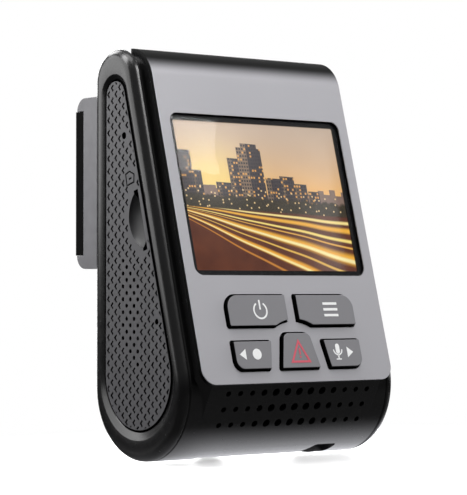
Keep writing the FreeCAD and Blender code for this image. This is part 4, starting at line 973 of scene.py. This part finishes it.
# The plates are painted shade: near-black floors under the chevrons.
perforated("left_grip_plate", -1, sound_holes, [True] * len(sound_holes), [left_outline] + LEFT_OPEN,
           PLATE_TOP, PLATE_TOP - CORE_HALF, PAINTED_GROOVE_SHADE)
perforated("right_grip_plate", 1, [], [], [left_outline] + RIGHT_OPEN,
           PLATE_TOP, PLATE_TOP - CORE_HALF, PAINTED_GROOVE_SHADE)
bpy.data.objects.remove(chevron_shape)

# %% [markdown]
# ### The finger notch
#
# A fingertip pushes the memory card in, so the plate is scooped out beside the slot. The
# scoop is a shallow bowl: a polar sheet from the arc's centre, deepest at the slot.

# %% Scoop
SCOOP_DEEP = 1.75


def scoop_mesh(rings=14, rays=32):
    work = bmesh.new()
    rows = []
    reach = math.acos((NOTCH_BACK + SLOT_THIN) / NOTCH_RAD)
    for i in range(rings + 1):
        row = []
        for k in range(rays + 1):
            turn = -reach + 2 * reach * k / rays
            near = (NOTCH_BACK + SLOT_THIN) / math.cos(turn)
            radius = near + (NOTCH_RAD - near) * i / rings
            share = min(radius / NOTCH_RAD, 1.0)
            fall = SCOOP_DEEP * (1 - share ** 3) ** 0.8
            place = along_slope(slot_mid, radius * math.sin(turn), NOTCH_BACK - radius * math.cos(turn))
            row.append(work.verts.new(upright(-(GRIP_TOP - 0.02 - fall), *place)))
        rows.append(row)
    for one, other in zip(rows, rows[1:]):
        for k in range(rays):
            work.faces.new((one[k], one[k + 1], other[k + 1], other[k]))
    bmesh.ops.remove_doubles(work, verts=work.verts, dist=FINE_WELD)
    bmesh.ops.recalc_face_normals(work, faces=work.faces)
    if sum(f.normal.x for f in work.faces) > 0:
        bmesh.ops.reverse_faces(work, faces=work.faces)
    bmesh.ops.solidify(work, geom=work.faces, thickness=0.12 * MM)
    return mesh_of(work, False)


piece("card_finger_scoop", scoop_mesh(), "camera", SATIN_BLACK, corner=60)

# %% [markdown]
# ## The screen
#
# Behind the glass sits a black printed border and then the display itself, lit from behind.
# What the display shows is made up: a dusk road with light trails, worked out in the shader
# from distances up and across the slope. A live view is what such a screen shows, and a
# lit, colourful picture is most of what makes the camera look switched on.

# %% A street at dusk, in nodes
WINDOW_LOW, WINDOW_TALL, WINDOW_WIDE = 20.85, 31.9, 42.4
SCREEN_UP = WINDOW_LOW + WINDOW_TALL / 2
PICTURE_WIDE, PICTURE_TALL = 40.0, 29.6


def street_picture():
    """Emission for the display: sky, skyline, lit windows, road and light trails."""
    finish = Finish("display picture", IOR=1.45, Roughness=0.35, Emission_Strength=1.2)
    x, up, out = finish.slope_axes()
    across = x / (PICTURE_WIDE / 2)                      # -1 left to 1 right
    high = (up - SCREEN_UP) / (PICTURE_TALL / 2)         # -1 bottom to 1 top
    horizon = high + 0.05 * across

    # Sky: grey-lilac at the top, amber near the horizon, brightest at the left.
    glow_y = (horizon + 0.02).math("MAXIMUM", 0.0)
    amber = (glow_y * -1.7).math("EXPONENT")
    sun_x, sun_y = across + 0.62, horizon - 0.14
    sun = ((sun_x * sun_x + sun_y * sun_y) * -5.0).math("EXPONENT")
    sky = finish.blend(amber, (0.52, 0.46, 0.42), (1.00, 0.52, 0.12))
    sky = finish.blend(sun * 0.85, sky, (1.0, 0.74, 0.22))

    def dice(cell):
        """A fixed random number for each whole number."""
        node = finish.node("ShaderNodeTexWhiteNoise", {"noise_dimensions": "1D"}, {"W": cell})
        return Value(finish, node.outputs["Value"])

    def windows(pitch_x, pitch_y, seed, share):
        """Panes on a grid, and which of them are lit."""
        cell_x = (x / pitch_x + seed).math("FLOOR")
        cell_y = (up / pitch_y).math("FLOOR")
        lit = dice(cell_x * 17.3 + cell_y * 5.7 + seed).above(1 - share)
        pane_x = (x / pitch_x + seed).math("FRACT")
        pane_y = (up / pitch_y).math("FRACT")
        return abs(pane_x - 0.5).below(0.30) * abs(pane_y - 0.5).below(0.27), lit

    # Far skyline: low, hazy blocks. Near blocks: (middle, half width, top, tone).
    far_top = dice((x / 1.5 + 4.0).math("FLOOR")) * 0.15 + 0.03
    haze = finish.blend(finish.noise(0.9, 2.0), (0.16, 0.11, 0.10), (0.30, 0.20, 0.15))
    colour = finish.blend((far_top - horizon).above(0.0), sky, haze)
    pane, lit = windows(0.62, 0.72, 2.0, 0.22)
    for middle, half, top, tone in (
            (0.62, 0.07, 0.13, 0.5), (0.46, 0.08, 0.22, 0.6), (0.30, 0.09, 0.31, 0.7),
            (0.13, 0.10, 0.27, 0.8), (-0.32, 0.09, 0.50, 0.7), (-0.13, 0.15, 0.66, 1.0),
            (-0.12, 0.10, 0.72, 1.1), (-0.50, 0.09, 0.16, 0.6), (-0.95, 0.10, 0.56, 0.6),
            (-0.80, 0.05, 0.30, 0.5)):
        block = abs(across - middle).below(half) * (horizon.below(top))
        shaded = (across - middle).above(-half * 0.35)
        wall = finish.blend(shaded, (0.22 * tone, 0.15 * tone, 0.10 * tone), (0.055, 0.042, 0.045))
        wall = finish.blend(pane, wall, (0.026, 0.024, 0.030))
        wall = finish.blend(pane * lit, wall, (0.80, 0.40, 0.09))
        colour = finish.blend(block, colour, wall)

    # Trees and parked cars: a dark ragged band with small warm lights in it.
    ragged = finish.noise(0.55, 3.0, 0.6) * 0.20 - 0.12
    trees = (ragged - horizon).above(0.0, 0.02)
    leaves = finish.blend(finish.noise(2.2, 2.0), (0.010, 0.012, 0.008), (0.075, 0.055, 0.030))
    colour = finish.blend(trees, colour, leaves)
    flat_place = finish.node("ShaderNodeCombineXYZ", None, (x, up, 0.0))
    lamps = finish.node("ShaderNodeTexVoronoi", {"feature": "F1", "voronoi_dimensions": "2D"},
                        {"Vector": flat_place.outputs[0], "Scale": 0.62})
    spark = (Value(finish, lamps.outputs["Distance"]).below(0.10, 0.05)
             * horizon.below(0.10) * (-0.20 - horizon).below(0.0))
    colour = finish.blend(spark, colour, (1.0, 0.72, 0.34))

    # Road: dark with a warm cast, and light trails that fan out from a point on the left.
    road = (-0.20 - horizon).above(0.0, 0.015)
    drop = (-0.16 - horizon).math("MAXIMUM", 0.001)
    ground = finish.blend(finish.noise(0.25, 3.0), (0.060, 0.016, 0.010), (0.17, 0.050, 0.022))
    colour = finish.blend(road, colour, ground)
    slant = drop / (across + 1.35 + drop * 0.8)
    wander = (finish.noise(0.045, 1.0) - 0.5) * 0.05
    # Trails: how far round the fan, half width, colour, strength.
    for edge, width, tint, strength in (
            (0.045, 0.008, (1.0, 0.80, 0.30), 1.0), (0.085, 0.012, (1.0, 0.52, 0.06), 0.9),
            (0.135, 0.007, (1.0, 0.78, 0.22), 1.0), (0.165, 0.004, (1.0, 0.55, 0.10), 0.8),
            (0.215, 0.020, (1.0, 0.50, 0.05), 0.9), (0.222, 0.008, (1.0, 0.88, 0.42), 1.0),
            (0.275, 0.005, (1.0, 0.62, 0.12), 0.8), (0.330, 0.014, (1.0, 0.46, 0.04), 0.9),
            (0.336, 0.006, (1.0, 0.84, 0.36), 1.0), (0.395, 0.006, (0.9, 0.36, 0.05), 0.6)):
        streak = abs(slant + wander - edge).below(width, width * 0.7) * road * strength
        colour = finish.blend(streak, colour, tint)
    finish.drive("Emission Color", colour)
    finish.shader.inputs["Base Color"].default_value = (0.01, 0.01, 0.01, 1)
    return finish.material


PICTURE = street_picture()
BORDER_BLACK = moulded("printed border black", 0.003, 0.25, 0.5, 0.001, coat=0.3)
print("picture nodes:", len(PICTURE.node_tree.nodes))

# %% [markdown]
# ### Glass, border and display
#
# Three thin layers, each a rounded rectangle: clear glass whose rim is softly rounded, a
# black border with a window in it, and the lit display below. The border is drawn as a
# loft round its own inner opening, so it is a closed frame and not a picture of one.


# %% Screen layers
def rounded_loop(half_x, half_y, radius, steps=8):
    """Corner points of a rounded rectangle about the origin, counter-clockwise."""
    points = []
    for sx, sy, start in ((1, -1, -90), (1, 1, 0), (-1, 1, 90), (-1, -1, 180)):
        for i in range(steps + 1):
            turn = math.radians(start + 90 * i / steps)
            points.append((sx * (half_x - radius) + radius * math.cos(turn),
                           sy * (half_y - radius) + radius * math.sin(turn)))
    return points


def slab(loop_at, levels, closed=False):
    """A loft through (what loop_at is given, height) levels of a loop drawn on the slope."""
    return mesh_of(loft([[on_face(x, up + SCREEN_UP, out) for x, up in loop_at(inset)]
                         for inset, out in levels], closed))


WINDOW_GAP = 0.15       # between the glass and the sheet
WINDOW_CORNER = 1.75
GLASS_HALVES = (WINDOW_WIDE / 2 - WINDOW_GAP, WINDOW_TALL / 2 - WINDOW_GAP)


def pane_loop(inset):
    half_x, half_y = GLASS_HALVES
    return rounded_loop(half_x - inset, half_y - inset, WINDOW_CORNER - inset * 0.5)


def clear_glass():
    """Thin clear glass: nearly all of it lets the display through, the rest is shine."""
    finish = Finish("clear cover glass", IOR=1.5)
    smear = finish.noise(0.12, 3.0)
    finish.drive("Base Color", finish.blend(smear, (0.010, 0.010, 0.012), (0.016, 0.016, 0.018)))
    finish.drive("Roughness", smear * 0.03 + 0.02)
    finish.drive("Alpha", smear * 0.04 + 0.12)
    return finish.material


CLEAR = clear_glass()
piece("cover_glass", slab(pane_loop, [(0.0, -0.72), (0.0, -0.47), (0.04, -0.39), (0.14, -0.35)]),
      "camera", CLEAR, ["screen_window"], corner=50)


def border_loop(opening):
    """The border's outline, or the opening in it that shows the picture."""
    if opening:
        return rounded_loop(PICTURE_WIDE / 2, PICTURE_TALL / 2, 0.35)
    return rounded_loop(*GLASS_HALVES, WINDOW_CORNER)


piece("screen_border", slab(border_loop, [(0, -1.0), (0, -0.74), (1, -0.74), (1, -1.0)], closed=True),
      "camera", BORDER_BLACK, corner=40)
piece("display_panel", slab(lambda inset: rounded_loop(PICTURE_WIDE / 2 + 0.2 - inset,
                                                       PICTURE_TALL / 2 + 0.2 - inset, 0.4),
                            [(0.0, -1.4), (0.0, -1.04), (0.03, -1.01)]),
      "camera", PICTURE, corner=40)
piece("display_frame", slab(lambda inset: rounded_loop(21.5 - inset, 17.5 - inset, 0.8),
                            [(0.1, -3.2), (0.0, -3.1), (0.0, -1.5), (0.1, -1.42)]),
      "camera", COMPONENT_BLACK, ["display_module"], corner=40)

# %% [markdown]
# ## Symbols on the keys
#
# The keys are printed, not engraved: white marks a few hundredths of a millimetre thick.
# Each mark is a flat outline filled and drawn out. All are plain symbols of the kind every
# maker uses: power, a menu of three bars, a record dot and a left arrow, a warning
# triangle, a microphone and a right arrow.

# %% Printed symbols
def printed(name, white, rough=0.4):
    finish = Finish(name, IOR=1.5)
    fleck = finish.noise(6.0, 2.0)
    finish.drive("Base Color", finish.blend(fleck, tuple(c * 0.92 for c in white), white))
    finish.drive("Roughness", fleck * 0.1 + rough)
    return finish.material


INK_WHITE = printed("white key print", (0.90, 0.90, 0.90))
INK_RED = printed("red key print", (0.62, 0.085, 0.125))
KEY_TOP = 0.8           # out of the panel
INK = 0.03              # thickness of the print
HIGH_ROW, LOW_ROW = 13.9, 5.4   # middles of the two rows of keys, up the slope


def filled(loops):
    """A thin solid from closed loops on the key tops; a loop inside another is a hole."""
    carrier = loops_object("print", loops, flat=True)
    carrier.data.fill_mode = "BOTH"
    carrier.data.extrude = INK / 2
    return placed(as_plain_mesh(carrier),
                  lambda x, up, out: on_face(x, up, KEY_TOP + INK / 2 + out), FINE_WELD)


def arc_loop(centre, radius, width, first, last, steps=30):
    """A closed band along an arc, in degrees."""
    outer, inner = ([(centre[0] + edge * math.cos(turn), centre[1] + edge * math.sin(turn))
                     for turn in (math.radians(first + (last - first) * i / steps)
                                  for i in range(steps + 1))]
                    for edge in (radius + width / 2, radius - width / 2))
    return outer + inner[::-1]


def bar(x, y, wide, tall, radius=0.0):
    """A bar about (x, y), with round corners if they have a radius."""
    corner = min(radius, wide / 2, tall / 2)
    if corner <= 0:
        return [(x - wide / 2, y - tall / 2), (x + wide / 2, y - tall / 2),
                (x + wide / 2, y + tall / 2), (x - wide / 2, y + tall / 2)]
    return [(x + a, y + b) for a, b in rounded_loop(wide / 2, tall / 2, corner, 5)]


def triangle(x, y, wide, tall, point_right):
    tip = wide / 2 if point_right else -wide / 2
    return [(x + tip, y), (x - tip, y + tall / 2), (x - tip, y - tall / 2)]


def warning(x, low, wide, tall, line):
    """A triangle outline: two loops, the inner one drawn in by the line's width."""
    half = wide / 2
    edge = math.hypot(half, tall)
    side_in = line * (edge + half) / tall
    return [[(x - half, low), (x + half, low), (x, low + tall)],
            [(x - half + side_in, low + line), (x + half - side_in, low + line),
             (x, low + tall - line * edge / half)]]


PRINTS = {
    "power_key": ("power_symbol", INK_WHITE, [arc_loop((-7.9, 13.8), 1.55, 0.34, -238, 58),
                                              bar(-7.9, 14.9, 0.36, 1.9, 0.1)]),
    "menu_key": ("menu_symbol", INK_WHITE, [bar(9.6, HIGH_ROW + step, 3.6, 0.5, 0.12)
                                            for step in (-1.15, 0.0, 1.15)]),
    "record_key": ("record_symbol", INK_WHITE, [triangle(-13.9, LOW_ROW, 1.5, 2.1, False),
                                                ring_points((-10.5, LOW_ROW), 1.05, 32)]),
    "event_key": ("warning_symbol", INK_RED, warning(0.0, 3.55, 5.0, 4.6, 0.42)
                  + [bar(0.0, 5.75, 0.34, 1.3, 0.1), ring_points((0.0, 4.66), 0.21, 14)]),
    "voice_key": ("voice_symbol", INK_WHITE, [bar(9.6, 6.1, 1.0, 2.0, 0.5),
                                              arc_loop((9.6, 5.95), 1.05, 0.26, -180, 0, 20),
                                              bar(9.6, 4.5, 0.26, 0.8), bar(9.6, 4.05, 1.3, 0.24),
                                              triangle(12.7, LOW_ROW, 1.5, 2.1, True)]),
}
for key, (name, ink, loops) in PRINTS.items():
    piece(name, filled(loops), key + "_body", ink, corner=30)
print("symbols:", [made[0] for made in PRINTS.values()])

# %% [markdown]
# ## The lens drum
#
# On the windscreen side a drum tilts in the camera's bottom. Its collar carries a ring of
# fine ribs that a thumb turns it by, and the barrel inside steps down to the glass in
# black baffles that stop stray light. The collar and the baffles are turned shapes, a
# profile spun about the lens axis; the ribs are one rib repeated by Geometry Nodes.

# %% The lens axis
DRUM = upright(0, -12.0, 12.2)
DRUM_RAD = 11.2
DRUM_DOWN = math.radians(20)
DRUM_TURN = Matrix.Translation(DRUM) @ Matrix.Rotation(-DRUM_DOWN, 4, "X")


def in_drum(x, along, aside):
    """A point x across, along the lens axis and square to it, in mm."""
    return DRUM_TURN @ (Vector((x, along, aside)) * MM)


def spun(profile, steps=72):
    """A closed (radius, along) profile spun about the lens axis."""
    work = loft([[in_drum(x, along, aside) for x, aside in ring_points((0, 0), radius, steps)]
                 for radius, along in profile], closed=True)
    bmesh.ops.remove_doubles(work, verts=work.verts, dist=FINE_WELD)
    return mesh_of(work)


REACH = DRUM_RAD + 1.2  # front of the collar along the lens axis
COLLAR = 8.1            # its outer radius
trim_profile = [(6.56, REACH + 0.02), (COLLAR - 0.35, REACH + 0.02), (COLLAR - 0.12, REACH + 0.2),
                (COLLAR - 0.1, REACH + 1.0), (COLLAR - 0.35, REACH + 1.3), (COLLAR - 0.7, REACH + 1.4),
                (6.95, REACH + 1.38), (6.7, REACH + 1.2), (6.56, REACH + 0.9)]
piece("lens_bezel", spun(trim_profile, 96), "lens_drum", TRIM_METAL,
      ["lens_trim_ring"], corner=50)
baffle = [(6.42, 13.0), (5.6, 12.99), (5.58, 11.6), (5.2, 11.55), (5.15, 10.2), (4.7, 10.1),
          (4.65, 8.9), (4.2, 8.8), (4.15, 7.6), (3.7, 7.5), (3.6, 5.2), (5.4, 5.0), (6.42, 5.0)]
piece("lens_barrel_baffles", spun(baffle), "lens_drum", SATIN_BLACK,
      ["lens_barrel"], corner=30)

# %% Collar ribs by a node tree
def ribs_tree():
    tree, given, result = node_tree("collar_ribs", [
        ("Count", "NodeSocketInt"), ("Radius", "NodeSocketFloat"), ("Rib Wide", "NodeSocketFloat"),
        ("Rib Tall", "NodeSocketFloat"), ("Rib Long", "NodeSocketFloat"),
        ("Finish", "NodeSocketMaterial")])
    circle = wire(tree, "GeometryNodeMeshCircle", None,
                  {"Vertices": given.outputs["Count"], "Radius": given.outputs["Radius"]})
    size = wire(tree, "ShaderNodeCombineXYZ", None, {
        0: given.outputs["Rib Tall"], 1: given.outputs["Rib Wide"], 2: given.outputs["Rib Long"]})
    rib = wire(tree, "GeometryNodeMeshCube", None, {"Size": size.outputs[0]})
    place = wire(tree, "GeometryNodeInputPosition")
    aim = wire(tree, "FunctionNodeAlignRotationToVector", {"axis": "X"},
               {"Vector": place.outputs[0]})
    end_tree(tree, wire(tree, "GeometryNodeInstanceOnPoints", None, {
        "Points": circle.outputs["Mesh"], "Instance": rib.outputs["Mesh"],
        "Rotation": aim.outputs[0]}), given, result)
    return tree


RIBS_AT = REACH - 0.62  # the ribs' middle along the lens axis
ribs = evaluated(spots_object("rib_seed", [(0.0, 0.0)]), ribs_tree(), {
    "Count": 60, "Radius": COLLAR - 0.02, "Rib Wide": 0.32, "Rib Tall": 0.30, "Rib Long": 1.0,
    "Finish": SATIN_BLACK})
ribs = placed(ribs, lambda across, aside, along: in_drum(across, RIBS_AT + along, aside))
piece("collar_ribs", ribs, "lens_drum", SATIN_BLACK, corner=30)
print("rib faces:", len(ribs.polygons))

# %% [markdown]
# ## Cross-head screws
#
# Four screws close the housing, two join the drum and four hold the bracket's halves. One
# node tree makes a head with a cross recess and sets it at every place in a list.

# %% Screw heads
def screw_shape(radius, tall, shank_radius, shank_long):
    """A pan-head screw along -Z with its head's top at zero: head, cross recess and shank."""
    work = bmesh.new()
    cross = []
    arm, half = radius * 0.62, radius * 0.13
    for quarter in range(4):
        turn = math.pi / 2 * quarter
        for a, b in ((half, half), (arm, half), (arm, -half)):
            cross.append((a * math.cos(turn) - b * math.sin(turn),
                          a * math.sin(turn) + b * math.cos(turn)))
    cross.sort(key=lambda p: math.atan2(p[1], p[0]))
    profile = [(radius * 0.80, 0.0), (radius * 0.94, -tall * 0.14), (radius, -tall * 0.4),
               (radius, -tall), (shank_radius, -tall), (shank_radius, -tall - shank_long + 0.3),
               (shank_radius * 0.6, -tall - shank_long)]
    rings = [[work.verts.new((a, b, z)) for a, b in ring_points((0, 0), r, 24)]
             for r, z in profile]
    for one, other in zip(rings, rings[1:]):
        for k in range(len(one)):
            m = (k + 1) % len(one)
            work.faces.new((one[k], other[k], other[m], one[m]))
    work.faces.new(rings[-1])
    top = [work.verts.new((a, b, 0.0)) for a, b in cross]
    floor = [work.verts.new((a * 0.8, b * 0.8, -tall * 0.65)) for a, b in cross]
    for i in range(len(top)):
        k = (i + 1) % len(top)
        work.faces.new((top[i], floor[i], floor[k], top[k]))
    work.faces.new(floor)
    edges = [work.edges.get(pair) for loop in (top, rings[0])
             for pair in zip(loop, loop[1:] + loop[:1])]
    bmesh.ops.triangle_fill(work, use_beauty=True, use_dissolve=False, edges=edges)
    return mesh_of(work)


def scatter_tree():
    tree, given, result = node_tree("screw_set", [("Screw", "NodeSocketObject"),
                                                  ("Finish", "NodeSocketMaterial")])
    shape = wire(tree, "GeometryNodeObjectInfo", {"transform_space": "ORIGINAL"},
                 {"Object": given.outputs["Screw"]})
    spin = wire(tree, "FunctionNodeRandomValue", {"data_type": "FLOAT"},
                {"Min": 0.0, "Max": 1.5, "Seed": 7})
    spin_float = next(s for s in spin.outputs if s.enabled and s.type == "VALUE")
    turn = wire(tree, "ShaderNodeCombineXYZ", None, {2: spin_float})
    end_tree(tree, wire(tree, "GeometryNodeInstanceOnPoints", None, {
        "Points": given.outputs["Geometry"], "Instance": shape.outputs["Geometry"],
        "Rotation": turn.outputs[0]}), given, result)
    return tree


SCREW_TREE = scatter_tree()


def screws(name, node, size, spots, place, body):
    """A set of screws on a plane: spots in mm, and a function from (a, b, height) to the model."""
    shape = linked(name + "_one", screw_shape(*size))
    mesh = evaluated(spots_object(name + "_spots", spots), SCREW_TREE,
                     {"Screw": shape, "Finish": STEEL})
    bpy.data.objects.remove(shape)
    piece(name, placed(mesh, place), body, STEEL, [node], corner=30)


# Sizes: head radius, head height, shank radius, shank length.
screws("housing_screw_set", "housing_screws", (1.7, 1.1, 0.93, 9.0),
       [(20.5, 12.0), (-20.5, 12.0), (14.0, 71.32), (-14.0, 71.32)],
       lambda a, b, h: upright(a, h - 0.2, b), "camera")
screws("bracket_screw_set", "bracket_screws", (1.6, 1.0, 0.8, 4.6),
       [(x, z) for x in (-18.8, 18.8) for z in (-13.2, 13.2)],
       lambda a, b, h: Vector((a, -11.0 + 0.55 - h, b)) * MM, "bracket")
screws("drum_screw_set", "drum_screws", (1.6, 0.9, 0.8, 7.4), [(-11.6, 0.0), (11.6, 0.0)],
       lambda a, b, h: in_drum(a, -(DRUM_RAD - 0.9) - h, b), "lens_drum")

# %% [markdown]
# ## Floor, light and camera
#
# A white floor under a white sky gives the plain studio look of a catalogue. Black plastic
# shows little but what it mirrors, so a pure white room would wash it out: seen by the
# camera, floor and sky are white, but to reflections the sky is dark at the horizon and
# brighter overhead, and the floor is dark but for one bright card in front of the round
# bottom. A small key lamp in front lights the face, lamps at the right and above light the
# slopes, two small ones at the left light the ring and the insert, and two more light the
# windscreen side.

# %% Floor and dome
FLOOR_MIDDLE = (20.0, -60.0)    # mm; the floor fades out round this point
FADE_FROM, FADE_OVER = 45.0, 70.0


def stage_floor():
    mesh = bpy.data.meshes.new("floor")
    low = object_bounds()[0].z - 0.0003
    mesh.from_pydata([(-2, -2, low), (2, -2, low), (2, 2, low), (-2, 2, low)], [], [(0, 1, 2, 3)])
    finish = Finish("studio floor", Roughness=0.22, Specular_IOR_Level=0.12, Emission_Strength=1.0)
    x, y, z = finish.axes()
    cloud = finish.noise(0.02, 1.0)
    from_x, from_y = x - FLOOR_MIDDLE[0], y - FLOOR_MIDDLE[1]
    away = ((from_x * from_x + from_y * from_y).math("SQRT") - FADE_FROM) / FADE_OVER
    seen = Value(finish, finish.node("ShaderNodeLightPath").outputs["Is Camera Ray"])
    card = (x.above(-22.0, 12.0) * x.below(45.0, 12.0)
            * y.below(-23.0, 5.0) * y.above(-36.0, 5.0))
    lit = finish.blend(card, (0.10, 0.10, 0.10), (1.85, 1.86, 1.95))
    finish.drive("Base Color", finish.blend(seen, (0.02, 0.02, 0.02), finish.blend(
        cloud, (0.60, 0.60, 0.60), (0.62, 0.62, 0.62))))
    finish.drive("Emission Color", finish.blend(seen, lit, (0.43, 0.43, 0.43)))
    finish.drive("Alpha", 1.0 - away.math("MINIMUM", 1.0).math("MAXIMUM", 0.0))
    mesh.materials.append(finish.material)
    obj = linked("floor", mesh)


stage_floor()
world = bpy.data.worlds.new("studio")
bpy.context.scene.world = world
world.use_nodes = True
dome = world.node_tree
background = dome.nodes["Background"]
seen = wire(dome, "ShaderNodeLightPath")
ray = wire(dome, "ShaderNodeTexCoord")
split = wire(dome, "ShaderNodeSeparateXYZ", None, (ray.outputs["Generated"],))
AT_HORIZON, OVERHEAD, TO_CAMERA = 0.05, 0.70, 1.0
lift = wire(dome, "ShaderNodeMapRange", None,
            {"To Min": AT_HORIZON, "To Max": OVERHEAD, "Value": split.outputs["Z"]})
mix = wire(dome, "ShaderNodeMix", None,
           {3: TO_CAMERA, 2: lift.outputs["Result"], 0: seen.outputs["Is Camera Ray"]})
dome.links.new(mix.outputs[0], background.inputs["Strength"])
background.inputs["Color"].default_value = (1, 1, 1, 1)


# %% Lamps and camera
def aimed(name, data, place, target):
    """A lamp or camera at a place, looking at a target."""
    obj = linked(name, data)
    obj.location = place
    obj.rotation_euler = (Vector(target) - Vector(place)).to_track_quat("-Z", "Y").to_euler()
    return obj


def lamp(name, place, target, wide, tall, watts):
    data = bpy.data.lights.new(name, "AREA")
    data.shape = "RECTANGLE"
    data.size = wide
    data.size_y = tall
    data.energy = watts
    aimed(name, data, place, target)


lamp("key light", (0.12, -0.31, 0.28), (0, -0.03, -0.01), 0.16, 0.16, 1.12)
lamp("right light", (1.1, -0.2, 0.35), (0, 0, 0), 0.3, 0.7, 3)
lamp("top light", (-0.1, -0.05, 0.8), (0, 0, 0), 0.5, 0.5, 3.5)
lamp("left light", (-0.13, 0.02, 0.17), (-0.02, -0.02, 0), 0.08, 0.12, 0.40)
lamp("side panel light", (-0.21, 0.10, 0.070), (-0.02, -0.02, 0.0), 0.30, 0.16, 0.62)
lamp("back light", (0.0, 0.70, 0.56), (0, 0, 0), 0.45, 0.35, 3.5)
lamp("rear fill", (0.45, 0.75, 0.10), (0, 0, -0.02), 0.5, 0.4, 5.0)

view = bpy.data.cameras.new("camera")
view.sensor_width = 36.0
view.lens = 160.23
bpy.context.scene.camera = aimed("camera", view, (-0.27129, -0.35830, -0.02067),
                                 (0.004906, -0.014946, -0.012439))
bpy.context.scene.view_settings.view_transform = "Standard"
